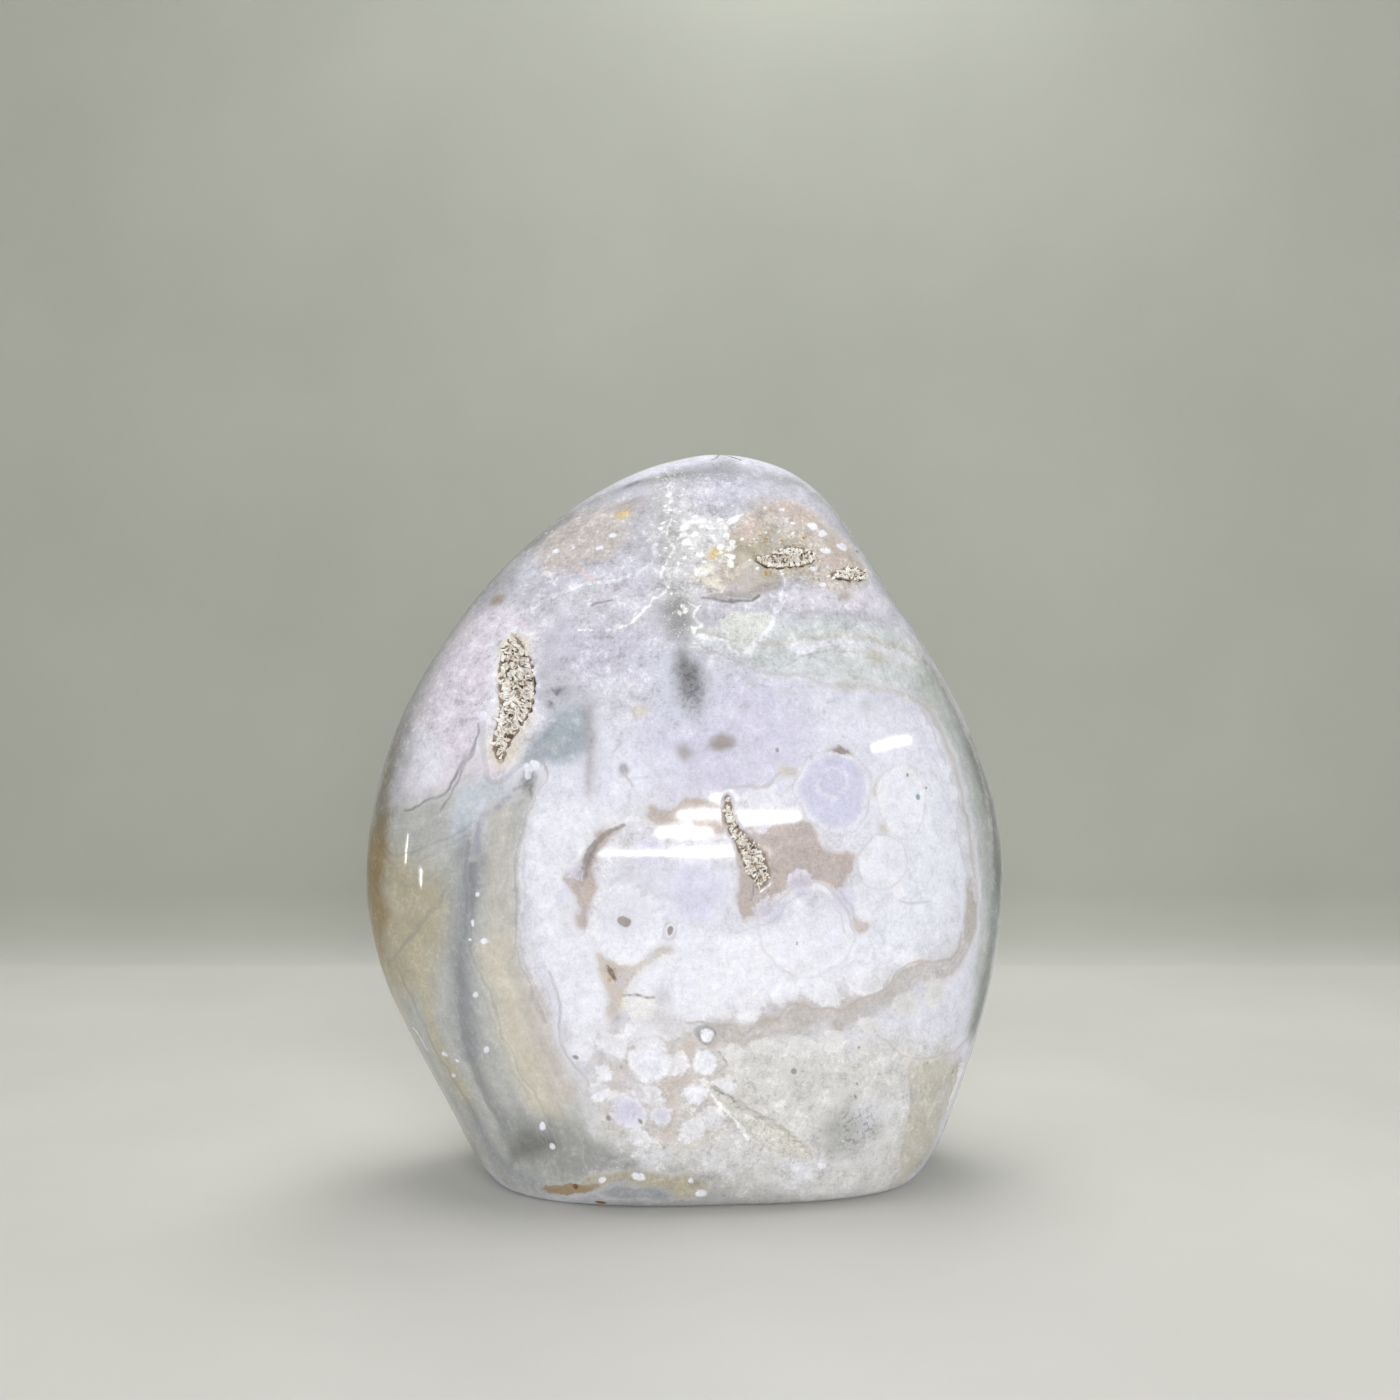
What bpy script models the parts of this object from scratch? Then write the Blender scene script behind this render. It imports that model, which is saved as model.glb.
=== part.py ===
"""A polished flower agate freeform: an upright, egg-shaped stone with a flat foot.

The stone is one solid. Four hollows in its front hold crusts of small quartz points, and
each crust is a solid of its own, a little clear of the hollow's wall. A slot, a gouge and
a chip are cut in the stone too. X runs to the right, -Y is the front, +Z is up, and the
origin is on the foot, below the middle of the stone's box. Sizes are in millimetres until
the meshes are made.
"""

import math
import random

import bmesh
import bpy
from mathutils import Matrix, Vector, noise
from mathutils.bvhtree import BVHTree

MM = 0.001

WIDTH = 88.7
THICKNESS = 46.0
HEIGHT = 100.7
APEX = (3.9, 3.0)

# The stone's reach from its axis at each height: height, left, right, front, back.
LEVELS = (
    (0.0, 24.4, 29.6, 16.4, 16.0),
    (1.1, 27.0, 32.1, 18.6, 18.4),
    (4.5, 29.6, 34.6, 20.2, 20.2),
    (10.0, 32.7, 37.3, 21.6, 21.4),
    (18.0, 37.2, 40.3, 22.7, 22.5),
    (26.0, 41.1, 42.5, 23.0, 23.0),
    (34.0, 43.6, 43.9, 22.9, 23.0),
    (42.0, 44.35, 44.35, 22.3, 22.8),
    (50.0, 43.7, 43.6, 21.1, 22.2),
    (58.0, 41.8, 41.2, 19.4, 21.1),
    (66.0, 38.6, 37.8, 17.1, 19.5),
    (74.0, 34.0, 33.2, 14.1, 17.6),
    (81.5, 28.5, 28.4, 10.9, 15.4),
    (88.2, 22.1, 24.2, 7.3, 13.0),
    (93.9, 15.0, 20.2, 3.7, 10.6),
    (98.1, 7.5, 15.2, 0.4, 8.1),
    (100.2, 0.6, 9.4, -1.8, 5.2),
)

# How square the front left, front right and back quarters of a level are; 2 is an ellipse.
FOOT_SQUARENESS = (2.55, 3.2, 2.7)
BODY_SQUARENESS = (2.1, 2.45, 2.3)
FOOT_BLEND_HEIGHT = 16.0

# The right side lies further back than the left by this share of the way across.
TURN = 0.07

# Broad flats that grinding left: the way each faces, how deep it cuts and how soft its edge is.
GROUND_FLATS = (
    ((0.08, 0.99, 0.10), 1.5, 1.8),
    ((-0.50, 0.66, 0.56), 1.5, 1.6),
    ((0.55, 0.79, -0.28), 1.2, 1.5),
)

SEGMENTS = 52
RINGS = 44
FOOT_RINGS = 5

# Each hollow follows a line on the stone's front: across, height and half width at each station.
LEFT_POCKET = (
    (-23.3, 74.0, 0.7),
    (-23.0, 71.6, 2.0),
    (-22.6, 69.0, 2.5),
    (-22.3, 65.7, 2.4),
    (-23.2, 62.6, 1.8),
    (-24.1, 60.3, 1.3),
    (-24.1, 58.2, 0.6),
)
CENTRE_POCKET = (
    (5.2, 53.4, 0.4),
    (5.3, 51.2, 0.6),
    (6.0, 49.1, 0.8),
    (7.4, 47.3, 1.1),
    (8.7, 45.1, 1.5),
    (9.3, 43.5, 1.3),
    (9.1, 42.3, 0.5),
)
CREST_POCKET = (
    (9.2, 84.9, 0.5),
    (11.4, 84.5, 1.1),
    (13.9, 85.3, 1.7),
    (16.0, 85.4, 1.4),
    (17.4, 85.8, 0.6),
)
SHOULDER_POCKET = (
    (19.9, 82.8, 0.5),
    (21.7, 83.0, 1.0),
    (23.3, 83.2, 1.1),
    (24.8, 83.3, 0.5),
)
SLOT = (
    (-8.0, 49.9, 0.25),
    (-10.0, 49.0, 0.35),
    (-11.6, 47.5, 0.45),
    (-12.6, 45.6, 0.5),
    (-12.9, 43.5, 0.3),
)
GOUGE = (
    (2.3, 17.4, 0.3),
    (4.4, 15.7, 0.7),
    (7.0, 13.4, 1.2),
    (9.5, 11.3, 1.7),
    (12.1, 9.5, 1.8),
    (14.4, 7.9, 1.1),
    (15.7, 7.1, 0.4),
)
EDGE_CHIP = (
    (36.6, 17.4, 0.4),
    (37.0, 15.6, 0.9),
    (36.2, 13.2, 0.6),
    (35.0, 10.4, 0.3),
)

STEPS_BETWEEN_STATIONS = 3
TUBE_RESOLUTION = 3
LEAST_HALF_WIDTH = 0.2

# A hollow's wall wanders by this much, over about this distance.
WANDER = 0.22
WANDER_SCALE = 1.6
WANDER_SEED = 7

# A bare hollow is shallow: its line is lifted out of the stone by this share of its half width.
SLOT_LIFT = 0.0
GOUGE_LIFT = 0.35
CHIP_LIFT = 0.25

# A crust keeps clear of its hollow's wall and of the polish, and thins towards its rim.
CRUST_GAP = 0.3
CRUST_TOP_DEPTH = 0.25
RIM_THICKNESS = 0.15
LINING_THICKNESS = 0.25

# The quartz points of a crust: half a point's width, and how far its tip rises and corners stray.
LATTICE = 0.5
LEAST_COLUMNS = 4
LINING_ARC = math.radians(145)
POINT_HEIGHT = (0.3, 0.75)
POINT_JITTER = 0.22
POINT_CLEARANCE = 0.05
LEAST_REACH = 0.4

STONE_COLOUR = (0.76, 0.73, 0.79)
STONE_ROUGHNESS = 0.08
DRUSE_COLOUR = (0.60, 0.50, 0.40)
DRUSE_ROUGHNESS = 0.22


def between(knots, index, t):
    """A point on the smooth curve through knots, t of the way from knot index + 1 to the next."""
    a, b, c, d = knots[index : index + 4]
    return [
        0.5 * (2 * q + (r - p) * t + (2 * p - 5 * q + 4 * r - s) * t**2 + (3 * q - p - 3 * r + s) * t**3)
        for p, q, r, s in zip(a, b, c, d)
    ]


def level_at(position):
    """The stone's reach at a position that counts LEVELS from the foot up."""
    apex_x, apex_y = APEX
    tip = (HEIGHT, -apex_x, apex_x, -apex_y, apex_y)
    below_foot = tuple(2 * a - b for a, b in zip(LEVELS[0], LEVELS[1]))
    past_tip = (LEVELS[-1][0],) + tuple(2 * t - a for t, a in zip(tip[1:], LEVELS[-1][1:]))
    index = min(int(position), len(LEVELS) - 1)
    return between((below_foot, *LEVELS, tip, past_tip), index, position - index)


def section_point(level, angle):
    """A point on the section at one level: angle 0 is right and 90 degrees is the back."""
    height, left, right, front, back = level
    across, along = math.cos(angle), math.sin(angle)
    quarter = 2 if along >= 0 else int(across >= 0)
    share = max(0.0, min(1.0, height / FOOT_BLEND_HEIGHT))
    share = share * share * (3 - 2 * share)
    power = 2 / (FOOT_SQUARENESS[quarter] * (1 - share) + BODY_SQUARENESS[quarter] * share)
    x = (right - left) / 2 + (left + right) / 2 * math.copysign(abs(across) ** power, across)
    y = (back - front) / 2 + (front + back) / 2 * math.copysign(abs(along) ** power, along)
    return Vector((x, y + TURN * x, height))


def grind_flats(bm):
    """Presses each broad flat into the stone, with a soft edge, above the foot."""
    for facing, depth, softness in GROUND_FLATS:
        normal = Vector(facing).normalized()
        limit = max(vert.co.dot(normal) for vert in bm.verts) - depth
        for vert in bm.verts:
            above = vert.co.dot(normal) - limit
            if above <= -softness or vert.co.z <= 0:
                continue
            push = above if above >= softness else (above + softness) ** 2 / (4 * softness)
            vert.co.x -= normal.x * push
            vert.co.y -= normal.y * push
            vert.co.z = max(0.0, vert.co.z - normal.z * push)


def fit_to_size(bm):
    """Centres the stone over its origin and brings its box to the named sizes."""
    lows = [min(vert.co[axis] for vert in bm.verts) for axis in range(3)]
    highs = [max(vert.co[axis] for vert in bm.verts) for axis in range(3)]
    for vert in bm.verts:
        for axis, size in enumerate((WIDTH, THICKNESS, HEIGHT)):
            share = (vert.co[axis] - lows[axis]) / (highs[axis] - lows[axis])
            vert.co[axis] = size * (share - 0.5) if axis < 2 else size * share


def shape_stone(bm):
    """Moves the points of a unit sphere onto the stone."""
    foot_edge = RINGS - FOOT_RINGS
    for vert in bm.verts:
        ring = round(math.acos(max(-1.0, min(1.0, vert.co.z))) / math.pi * RINGS)
        angle = math.atan2(vert.co.y, vert.co.x)
        if ring <= foot_edge:
            vert.co = section_point(level_at(len(LEVELS) * (1 - ring / foot_edge)), angle)
        else:
            vert.co = section_point(level_at(0), angle) * ((RINGS - ring) / FOOT_RINGS)
    grind_flats(bm)
    fit_to_size(bm)


def as_helper(obj):
    """Marks a cutter or a guide: it shapes the object and isn't part of it."""
    obj.hide_render = True
    obj.display_type = "WIRE"
    return obj


def new_object(name, bm, collection):
    """A mesh object in metres from a bmesh in millimetres."""
    mesh = bpy.data.meshes.new(name)
    bm.to_mesh(mesh)
    bm.free()
    mesh.transform(Matrix.Scale(MM, 4))
    obj = bpy.data.objects.new(name, mesh)
    collection.objects.link(obj)
    return obj


def make_blank(collection):
    """The whole stone before anything is cut in it."""
    bm = bmesh.new()
    bmesh.ops.create_uvsphere(bm, u_segments=SEGMENTS, v_segments=RINGS, radius=1.0)
    shape_stone(bm)
    bmesh.ops.triangulate(bm, faces=bm.faces)
    return new_object("stone", bm, collection)


def line_on_stone(stations, surface):
    """A smooth line through stations on the stone: centre, outward direction and half width along it."""
    before = tuple(2 * a - b for a, b in zip(stations[0], stations[1]))
    after = tuple(2 * a - b for a, b in zip(stations[-1], stations[-2]))
    spans = len(stations) - 1
    line = []
    for step in range(spans * STEPS_BETWEEN_STATIONS + 1):
        index = min(step // STEPS_BETWEEN_STATIONS, spans - 1)
        x, z, half_width = between((before, *stations, after), index, step / STEPS_BETWEEN_STATIONS - index)
        centre, outward, _, _ = surface.ray_cast(Vector((x, -2 * THICKNESS, z)), Vector((0, 1, 0)))
        line.append((centre, outward, max(half_width, LEAST_HALF_WIDTH)))
    return line


def wander(place):
    """How far a hollow's wall strays at a place."""
    return noise.noise_vector(place / WANDER_SCALE) * WANDER


def make_tube(name, line, collection, lift=0.0):
    """A round form along a line, as a mesh, lifted out of the stone by a share of its half width."""
    curve = bpy.data.curves.new(name, "CURVE")
    curve.dimensions = "3D"
    curve.bevel_depth = MM
    curve.bevel_resolution = TUBE_RESOLUTION
    curve.use_fill_caps = True
    spline = curve.splines.new("POLY")
    spline.points.add(len(line) - 1)
    for point, (centre, outward, half_width) in zip(spline.points, line):
        point.co = (*(centre + outward * half_width * lift) * MM, 1.0)
        point.radius = half_width
    guide = bpy.data.objects.new(name + "_line", curve)
    collection.objects.link(guide)
    graph = bpy.context.evaluated_depsgraph_get()
    mesh = bpy.data.meshes.new_from_object(guide.evaluated_get(graph))
    bpy.data.objects.remove(guide)
    bm = bmesh.new()
    bm.from_mesh(mesh)
    bm.transform(Matrix.Scale(1 / MM, 4))
    bmesh.ops.remove_doubles(bm, verts=bm.verts, dist=0.01)
    bmesh.ops.triangulate(bm, faces=bm.faces)
    for vert in bm.verts:
        vert.co += wander(vert.co)
    return as_helper(new_object(name, bm, collection))


def carve(stone, cutter):
    modifier = stone.modifiers.new(cutter.name, "BOOLEAN")
    modifier.operation = "DIFFERENCE"
    modifier.object = cutter


def lining_point(line, along, across, depth):
    """A point in a hollow's lining: shares along its line and across it, and how far in from the wall."""
    position = along * (len(line) - 1)
    index = min(int(position), len(line) - 2)
    (start, _, _), (end, outward, _) = line[index], line[index + 1]
    run = end - start
    side = run.cross(outward).normalized()
    share = position - index
    reach = max(line[index][2] * (1 - share) + line[index + 1][2] * share, LEAST_REACH)
    angle = across * math.acos(CRUST_TOP_DEPTH / reach)
    radius = max(reach - depth, POINT_CLEARANCE)
    return start + run * share + (side * math.sin(angle) - outward * math.cos(angle)) * radius


def make_crust(name, line, collection, seed):
    """The crust of one hollow: a closed lining whose inner face stands up in six-sided quartz points.

    The face is a lattice of triangles in which every third corner is the tip of a point.
    """
    random.seed(seed)
    line = [(centre, outward, half_width - CRUST_GAP) for centre, outward, half_width in line]
    line = [station for station in line if station[2] > LEAST_REACH]
    length = sum((end[0] - start[0]).length for start, end in zip(line, line[1:]))
    rows = round(length / LATTICE)
    widest = max(station[2] for station in line)
    columns = max(LEAST_COLUMNS, round(LINING_ARC * widest / LATTICE))
    bm = bmesh.new()
    bmesh.ops.create_grid(bm, x_segments=rows, y_segments=columns, size=1)
    bmesh.ops.triangulate(bm, faces=bm.faces, quad_method="FIXED")
    face = list(bm.verts)
    wall = bmesh.ops.extrude_face_region(bm, geom=bm.faces[:])["geom"]
    for vert in wall:
        if isinstance(vert, bmesh.types.BMVert):
            vert.co = lining_point(line, (vert.co.x + 1) / 2, vert.co.y, 0.0)
    for vert in face:
        row, column = round((vert.co.x + 1) / 2 * rows), round((vert.co.y + 1) / 2 * columns)
        along, across = vert.co.x, vert.co.y
        if not 0 < row < rows or not 0 < column < columns:
            depth = RIM_THICKNESS
        else:
            along += random.uniform(-POINT_JITTER, POINT_JITTER) * 2 / rows
            across += random.uniform(-POINT_JITTER, POINT_JITTER) * 2 / columns
            is_tip = (row + column) % 3 == 0
            depth = LINING_THICKNESS + (random.uniform(*POINT_HEIGHT) if is_tip else 0.0)
        vert.co = lining_point(line, (along + 1) / 2, across, depth)
    for vert in bm.verts:
        vert.co += wander(vert.co)
    bmesh.ops.recalc_face_normals(bm, faces=bm.faces)
    return new_object(name, bm, collection)


def make_material(name, colour, roughness):
    material = bpy.data.materials.new(name)
    material.use_nodes = True
    shader = material.node_tree.nodes["Principled BSDF"]
    shader.inputs["Base Color"].default_value = (*colour, 1.0)
    shader.inputs["Roughness"].default_value = roughness
    shader.inputs["Metallic"].default_value = 0.0
    material.diffuse_color = (*colour, 1.0)
    return material


def main():
    for obj in list(bpy.data.objects):
        bpy.data.objects.remove(obj)
    noise.seed_set(WANDER_SEED)
    collection = bpy.data.collections.new("flower_agate_freeform")
    helpers = bpy.data.collections.new("cutters")
    for each in (collection, helpers):
        bpy.context.scene.collection.children.link(each)

    stone = make_blank(collection)
    stone.data.materials.append(make_material("polished_agate", STONE_COLOUR, STONE_ROUGHNESS))
    bm = bmesh.new()
    bm.from_mesh(stone.data)
    bm.transform(Matrix.Scale(1 / MM, 4))
    surface = BVHTree.FromBMesh(bm)
    bm.free()

    pockets = {
        "left": LEFT_POCKET,
        "centre": CENTRE_POCKET,
        "crest": CREST_POCKET,
        "shoulder": SHOULDER_POCKET,
    }
    for seed, (place, stations) in enumerate(pockets.items()):
        line = line_on_stone(stations, surface)
        carve(stone, make_tube(place + "_pocket", line, helpers))
        crust = make_crust("druse_" + place, line, collection, seed)
        crust.data.materials.append(make_material("druse_" + place, DRUSE_COLOUR, DRUSE_ROUGHNESS))
    bare_hollows = {
        "slot": (SLOT, SLOT_LIFT),
        "gouge": (GOUGE, GOUGE_LIFT),
        "edge_chip": (EDGE_CHIP, CHIP_LIFT),
    }
    for place, (stations, lift) in bare_hollows.items():
        carve(stone, make_tube(place, line_on_stone(stations, surface), helpers, lift))
    stone.data.shade_smooth()


main()
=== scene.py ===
"""The looks of a polished flower agate freeform.

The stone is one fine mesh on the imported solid's own form, with its hollows, gouge, chip and
pits pressed in. Its pattern is painted from the front and from the other sides, in a flat map
of its surface in millimetres, as the distance to the edge of each field, band, outline and
dot, and the finish cuts those edges sharp. Each druse is a lining with quartz points on it.
"""

import math
import random
from collections import namedtuple

import bmesh
import bpy
import numpy as np
from bpy.props import FloatProperty, FloatVectorProperty, IntProperty, PointerProperty
from mathutils import Matrix, Vector, interpolate, noise
from mathutils.bvhtree import BVHTree


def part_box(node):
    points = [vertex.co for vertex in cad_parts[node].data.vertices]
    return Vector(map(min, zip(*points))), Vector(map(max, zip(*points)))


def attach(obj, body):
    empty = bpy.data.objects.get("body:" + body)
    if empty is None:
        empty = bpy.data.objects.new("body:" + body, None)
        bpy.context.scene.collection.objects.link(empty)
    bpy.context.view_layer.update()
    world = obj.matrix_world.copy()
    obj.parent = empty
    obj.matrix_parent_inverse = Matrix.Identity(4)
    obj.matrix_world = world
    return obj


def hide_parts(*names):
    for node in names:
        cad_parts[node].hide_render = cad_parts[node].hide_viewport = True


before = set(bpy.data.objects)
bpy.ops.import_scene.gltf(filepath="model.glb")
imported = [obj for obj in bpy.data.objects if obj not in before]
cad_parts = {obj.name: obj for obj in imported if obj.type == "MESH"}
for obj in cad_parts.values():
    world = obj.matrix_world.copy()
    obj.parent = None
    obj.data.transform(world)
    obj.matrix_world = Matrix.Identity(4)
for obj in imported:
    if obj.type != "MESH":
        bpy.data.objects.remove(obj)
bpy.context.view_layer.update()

bl_info = {
    "name": "Flower agate freeform",
    "version": (1, 0, 0),
    "blender": (4, 5, 0),
    "location": "View3D > Sidebar > Agate",
    "description": "Builds a polished flower agate freeform with its druses",
    "category": "Add Mesh",
}

MM = 0.001
STONE_LOW, STONE_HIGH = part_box("stone")

# The photograph's frame and camera, in pixels and millimetres; PIXEL is a pixel's width on the
# stone. The camera is level and looks along +Y.
FRAME_SIDE = 1400
FOCAL = 1500.0
EYE = Vector((1.65, -211.0, 65.7))
SENSOR = 36.0
PIXEL = 1 / 7.5

# The stone's form, as the solid has it: height, left, right, front and back reach of each level.
HEIGHT = 100.7
APEX = (3.9, 3.0)
LEVELS = (
    (0.0, 24.4, 29.6, 16.4, 16.0), (1.1, 27.0, 32.1, 18.6, 18.4), (4.5, 29.6, 34.6, 20.2, 20.2),
    (10.0, 32.7, 37.3, 21.6, 21.4), (18.0, 37.2, 40.3, 22.7, 22.5), (26.0, 41.1, 42.5, 23.0, 23.0),
    (34.0, 43.6, 43.9, 22.9, 23.0), (42.0, 44.35, 44.35, 22.3, 22.8), (50.0, 43.7, 43.6, 21.1, 22.2),
    (58.0, 41.8, 41.2, 19.4, 21.1), (66.0, 38.6, 37.8, 17.1, 19.5), (74.0, 34.0, 33.2, 14.1, 17.6),
    (81.5, 28.5, 28.4, 10.9, 15.4), (88.2, 22.1, 24.2, 7.3, 13.0), (93.9, 15.0, 20.2, 3.7, 10.6),
    (98.1, 7.5, 15.2, 0.4, 8.1), (100.2, 0.6, 9.4, -1.8, 5.2),
)
FOOT_SQUARENESS = (2.55, 3.2, 2.7)
BODY_SQUARENESS = (2.1, 2.45, 2.3)
FOOT_BLEND_HEIGHT = 16.0
TURN = 0.07
GROUND_FLATS = (
    ((0.08, 0.99, 0.10), 1.5, 1.8),
    ((-0.50, 0.66, 0.56), 1.5, 1.6),
    ((0.55, 0.79, -0.28), 1.2, 1.5),
)
FOOT_SHARE = 5 / 44

# Hollows on the front: across, height and half width at each station, then how far the round
# form that cuts it is lifted, as a share of its half width.
HOLLOWS = {
    "left": (((-23.3, 74.0, 0.7), (-23.0, 71.6, 2.0), (-22.6, 69.0, 2.5), (-22.3, 65.7, 2.4),
              (-23.2, 62.6, 1.8), (-24.1, 60.3, 1.3), (-24.1, 58.2, 0.6)), 0.0),
    "centre": (((5.2, 53.4, 0.4), (5.3, 51.2, 0.6), (6.0, 49.1, 0.8), (7.4, 47.3, 1.1),
                (8.7, 45.1, 1.5), (9.3, 43.5, 1.3), (9.1, 42.3, 0.5)), 0.0),
    "crest": (((9.2, 84.9, 0.5), (11.4, 84.5, 1.1), (13.9, 85.3, 1.7), (16.0, 85.4, 1.4),
               (17.4, 85.8, 0.6)), 0.0),
    "shoulder": (((19.9, 82.8, 0.5), (21.7, 83.0, 1.0), (23.3, 83.2, 1.1), (24.8, 83.3, 0.5)), 0.0),
    "slot": (((-8.0, 49.9, 0.25), (-10.0, 49.0, 0.35), (-11.6, 47.5, 0.45), (-12.6, 45.6, 0.5),
              (-12.9, 43.5, 0.3)), 0.0),
    "gouge": (((2.3, 17.4, 0.3), (4.4, 15.7, 0.7), (7.0, 13.4, 1.2), (9.5, 11.3, 1.7),
               (12.1, 9.5, 1.8), (14.4, 7.9, 1.1), (15.7, 7.1, 0.4)), 0.35),
    "edge_chip": (((36.6, 17.4, 0.4), (37.0, 15.6, 0.9), (36.2, 13.2, 0.6), (35.0, 10.4, 0.3)), 0.25),
    "pit": (((-10.0, 32.2, 0.3), (-9.5, 31.5, 0.35), (-9.0, 30.6, 0.25)), 0.2),
    "sparkle_pit": (((-20.6, 57.2, 0.5), (-20.3, 56.6, 0.6), (-20.3, 55.9, 0.4)), 0.2),
}
# The druses, with how large each one's points are beside ordinary ones.
DRUSES = {"left": 1.0, "centre": 0.75, "crest": 0.75, "shoulder": 0.75}
WALLS = {
    "left": "druse_wall", "centre": "brown_grey", "crest": "druse_wall", "shoulder": "druse_wall",
    "slot": "brown_grey", "gouge": "stone_cream", "edge_chip": "stone_cream", "pit": "brown",
    "sparkle_pit": "white",
}
LEAST_HALF_WIDTH = 0.2
HOLLOW_STRAY = 0.12
WANDER = 0.22
WANDER_SCALE = 1.6
WANDER_FINENESS = 2.2
NOISE_SEED = 7


def linear(red, green, blue):
    """A colour of the 0 to 255 scale as the shader's linear one."""
    shares = (red / 255, green / 255, blue / 255)
    return tuple(share / 12.92 if share <= 0.04 else ((share + 0.055) / 1.055) ** 2.4 for share in shares)


Mark = namedtuple("Mark", "form layer shade size soft opacity pixels")


def area(shade, *pixels, layer="matrix", soft=10, opacity=1.0):
    """A field bounded by the given pixels. Soft counts on the tone layer only."""
    return Mark("area", layer, shade, 0.0, soft, opacity, pixels)


def stroke(shade, half_width, *pixels, layer="line", soft=10, opacity=1.0):
    """A band along the given pixels."""
    return Mark("stroke", layer, shade, half_width, soft, opacity, pixels)


def dots(shade, *pixels, layer="spot", soft=10, opacity=1.0):
    """Round or oval spots: across, down, half width and, for an oval, half height."""
    return Mark("dots", layer, shade, 0.0, soft, opacity, pixels)


def rings(shade, half_width, *pixels, layer="line", opacity=1.0):
    """Outlines of round or oval spots."""
    return Mark("rings", layer, shade, half_width, 0, opacity, pixels)


def tone(shade, soft, *pixels, opacity=1.0):
    """A field of the broad colour, with a soft edge."""
    return area(shade, *pixels, layer="tone", soft=soft, opacity=opacity)


def wash(shade, half_width, soft, *pixels, opacity=1.0):
    """A band of the broad colour, with soft edges."""
    return stroke(shade, half_width, *pixels, layer="tone", soft=soft, opacity=opacity)


def veil(shade, *pixels, opacity=1.0):
    """Fuzzy spots under the matrix."""
    return dots(shade, *pixels, layer="veil", opacity=opacity)


def lobe(shade, *pixels, opacity=1.0):
    """Round bodies in front of the matrix."""
    return dots(shade, *pixels, layer="lobe", opacity=opacity)


def sprinkle(shade, seed, count, low, high, *corners, layer="spot", opacity=1.0):
    """Spots strewn between four corners."""
    rng = random.Random(seed)
    places = np.array(corners, float)
    pixels = []
    for _ in range(count):
        across, down = rng.random(), rng.random()
        upper = places[0] * (1 - across) + places[1] * across
        lower = places[3] * (1 - across) + places[2] * across
        x, y = upper * (1 - down) + lower * down
        radius = rng.uniform(low, high)
        pixels.append((x, y, radius, radius * rng.uniform(0.7, 1.2)))
    return dots(shade, *pixels, layer=layer, opacity=opacity)


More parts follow.
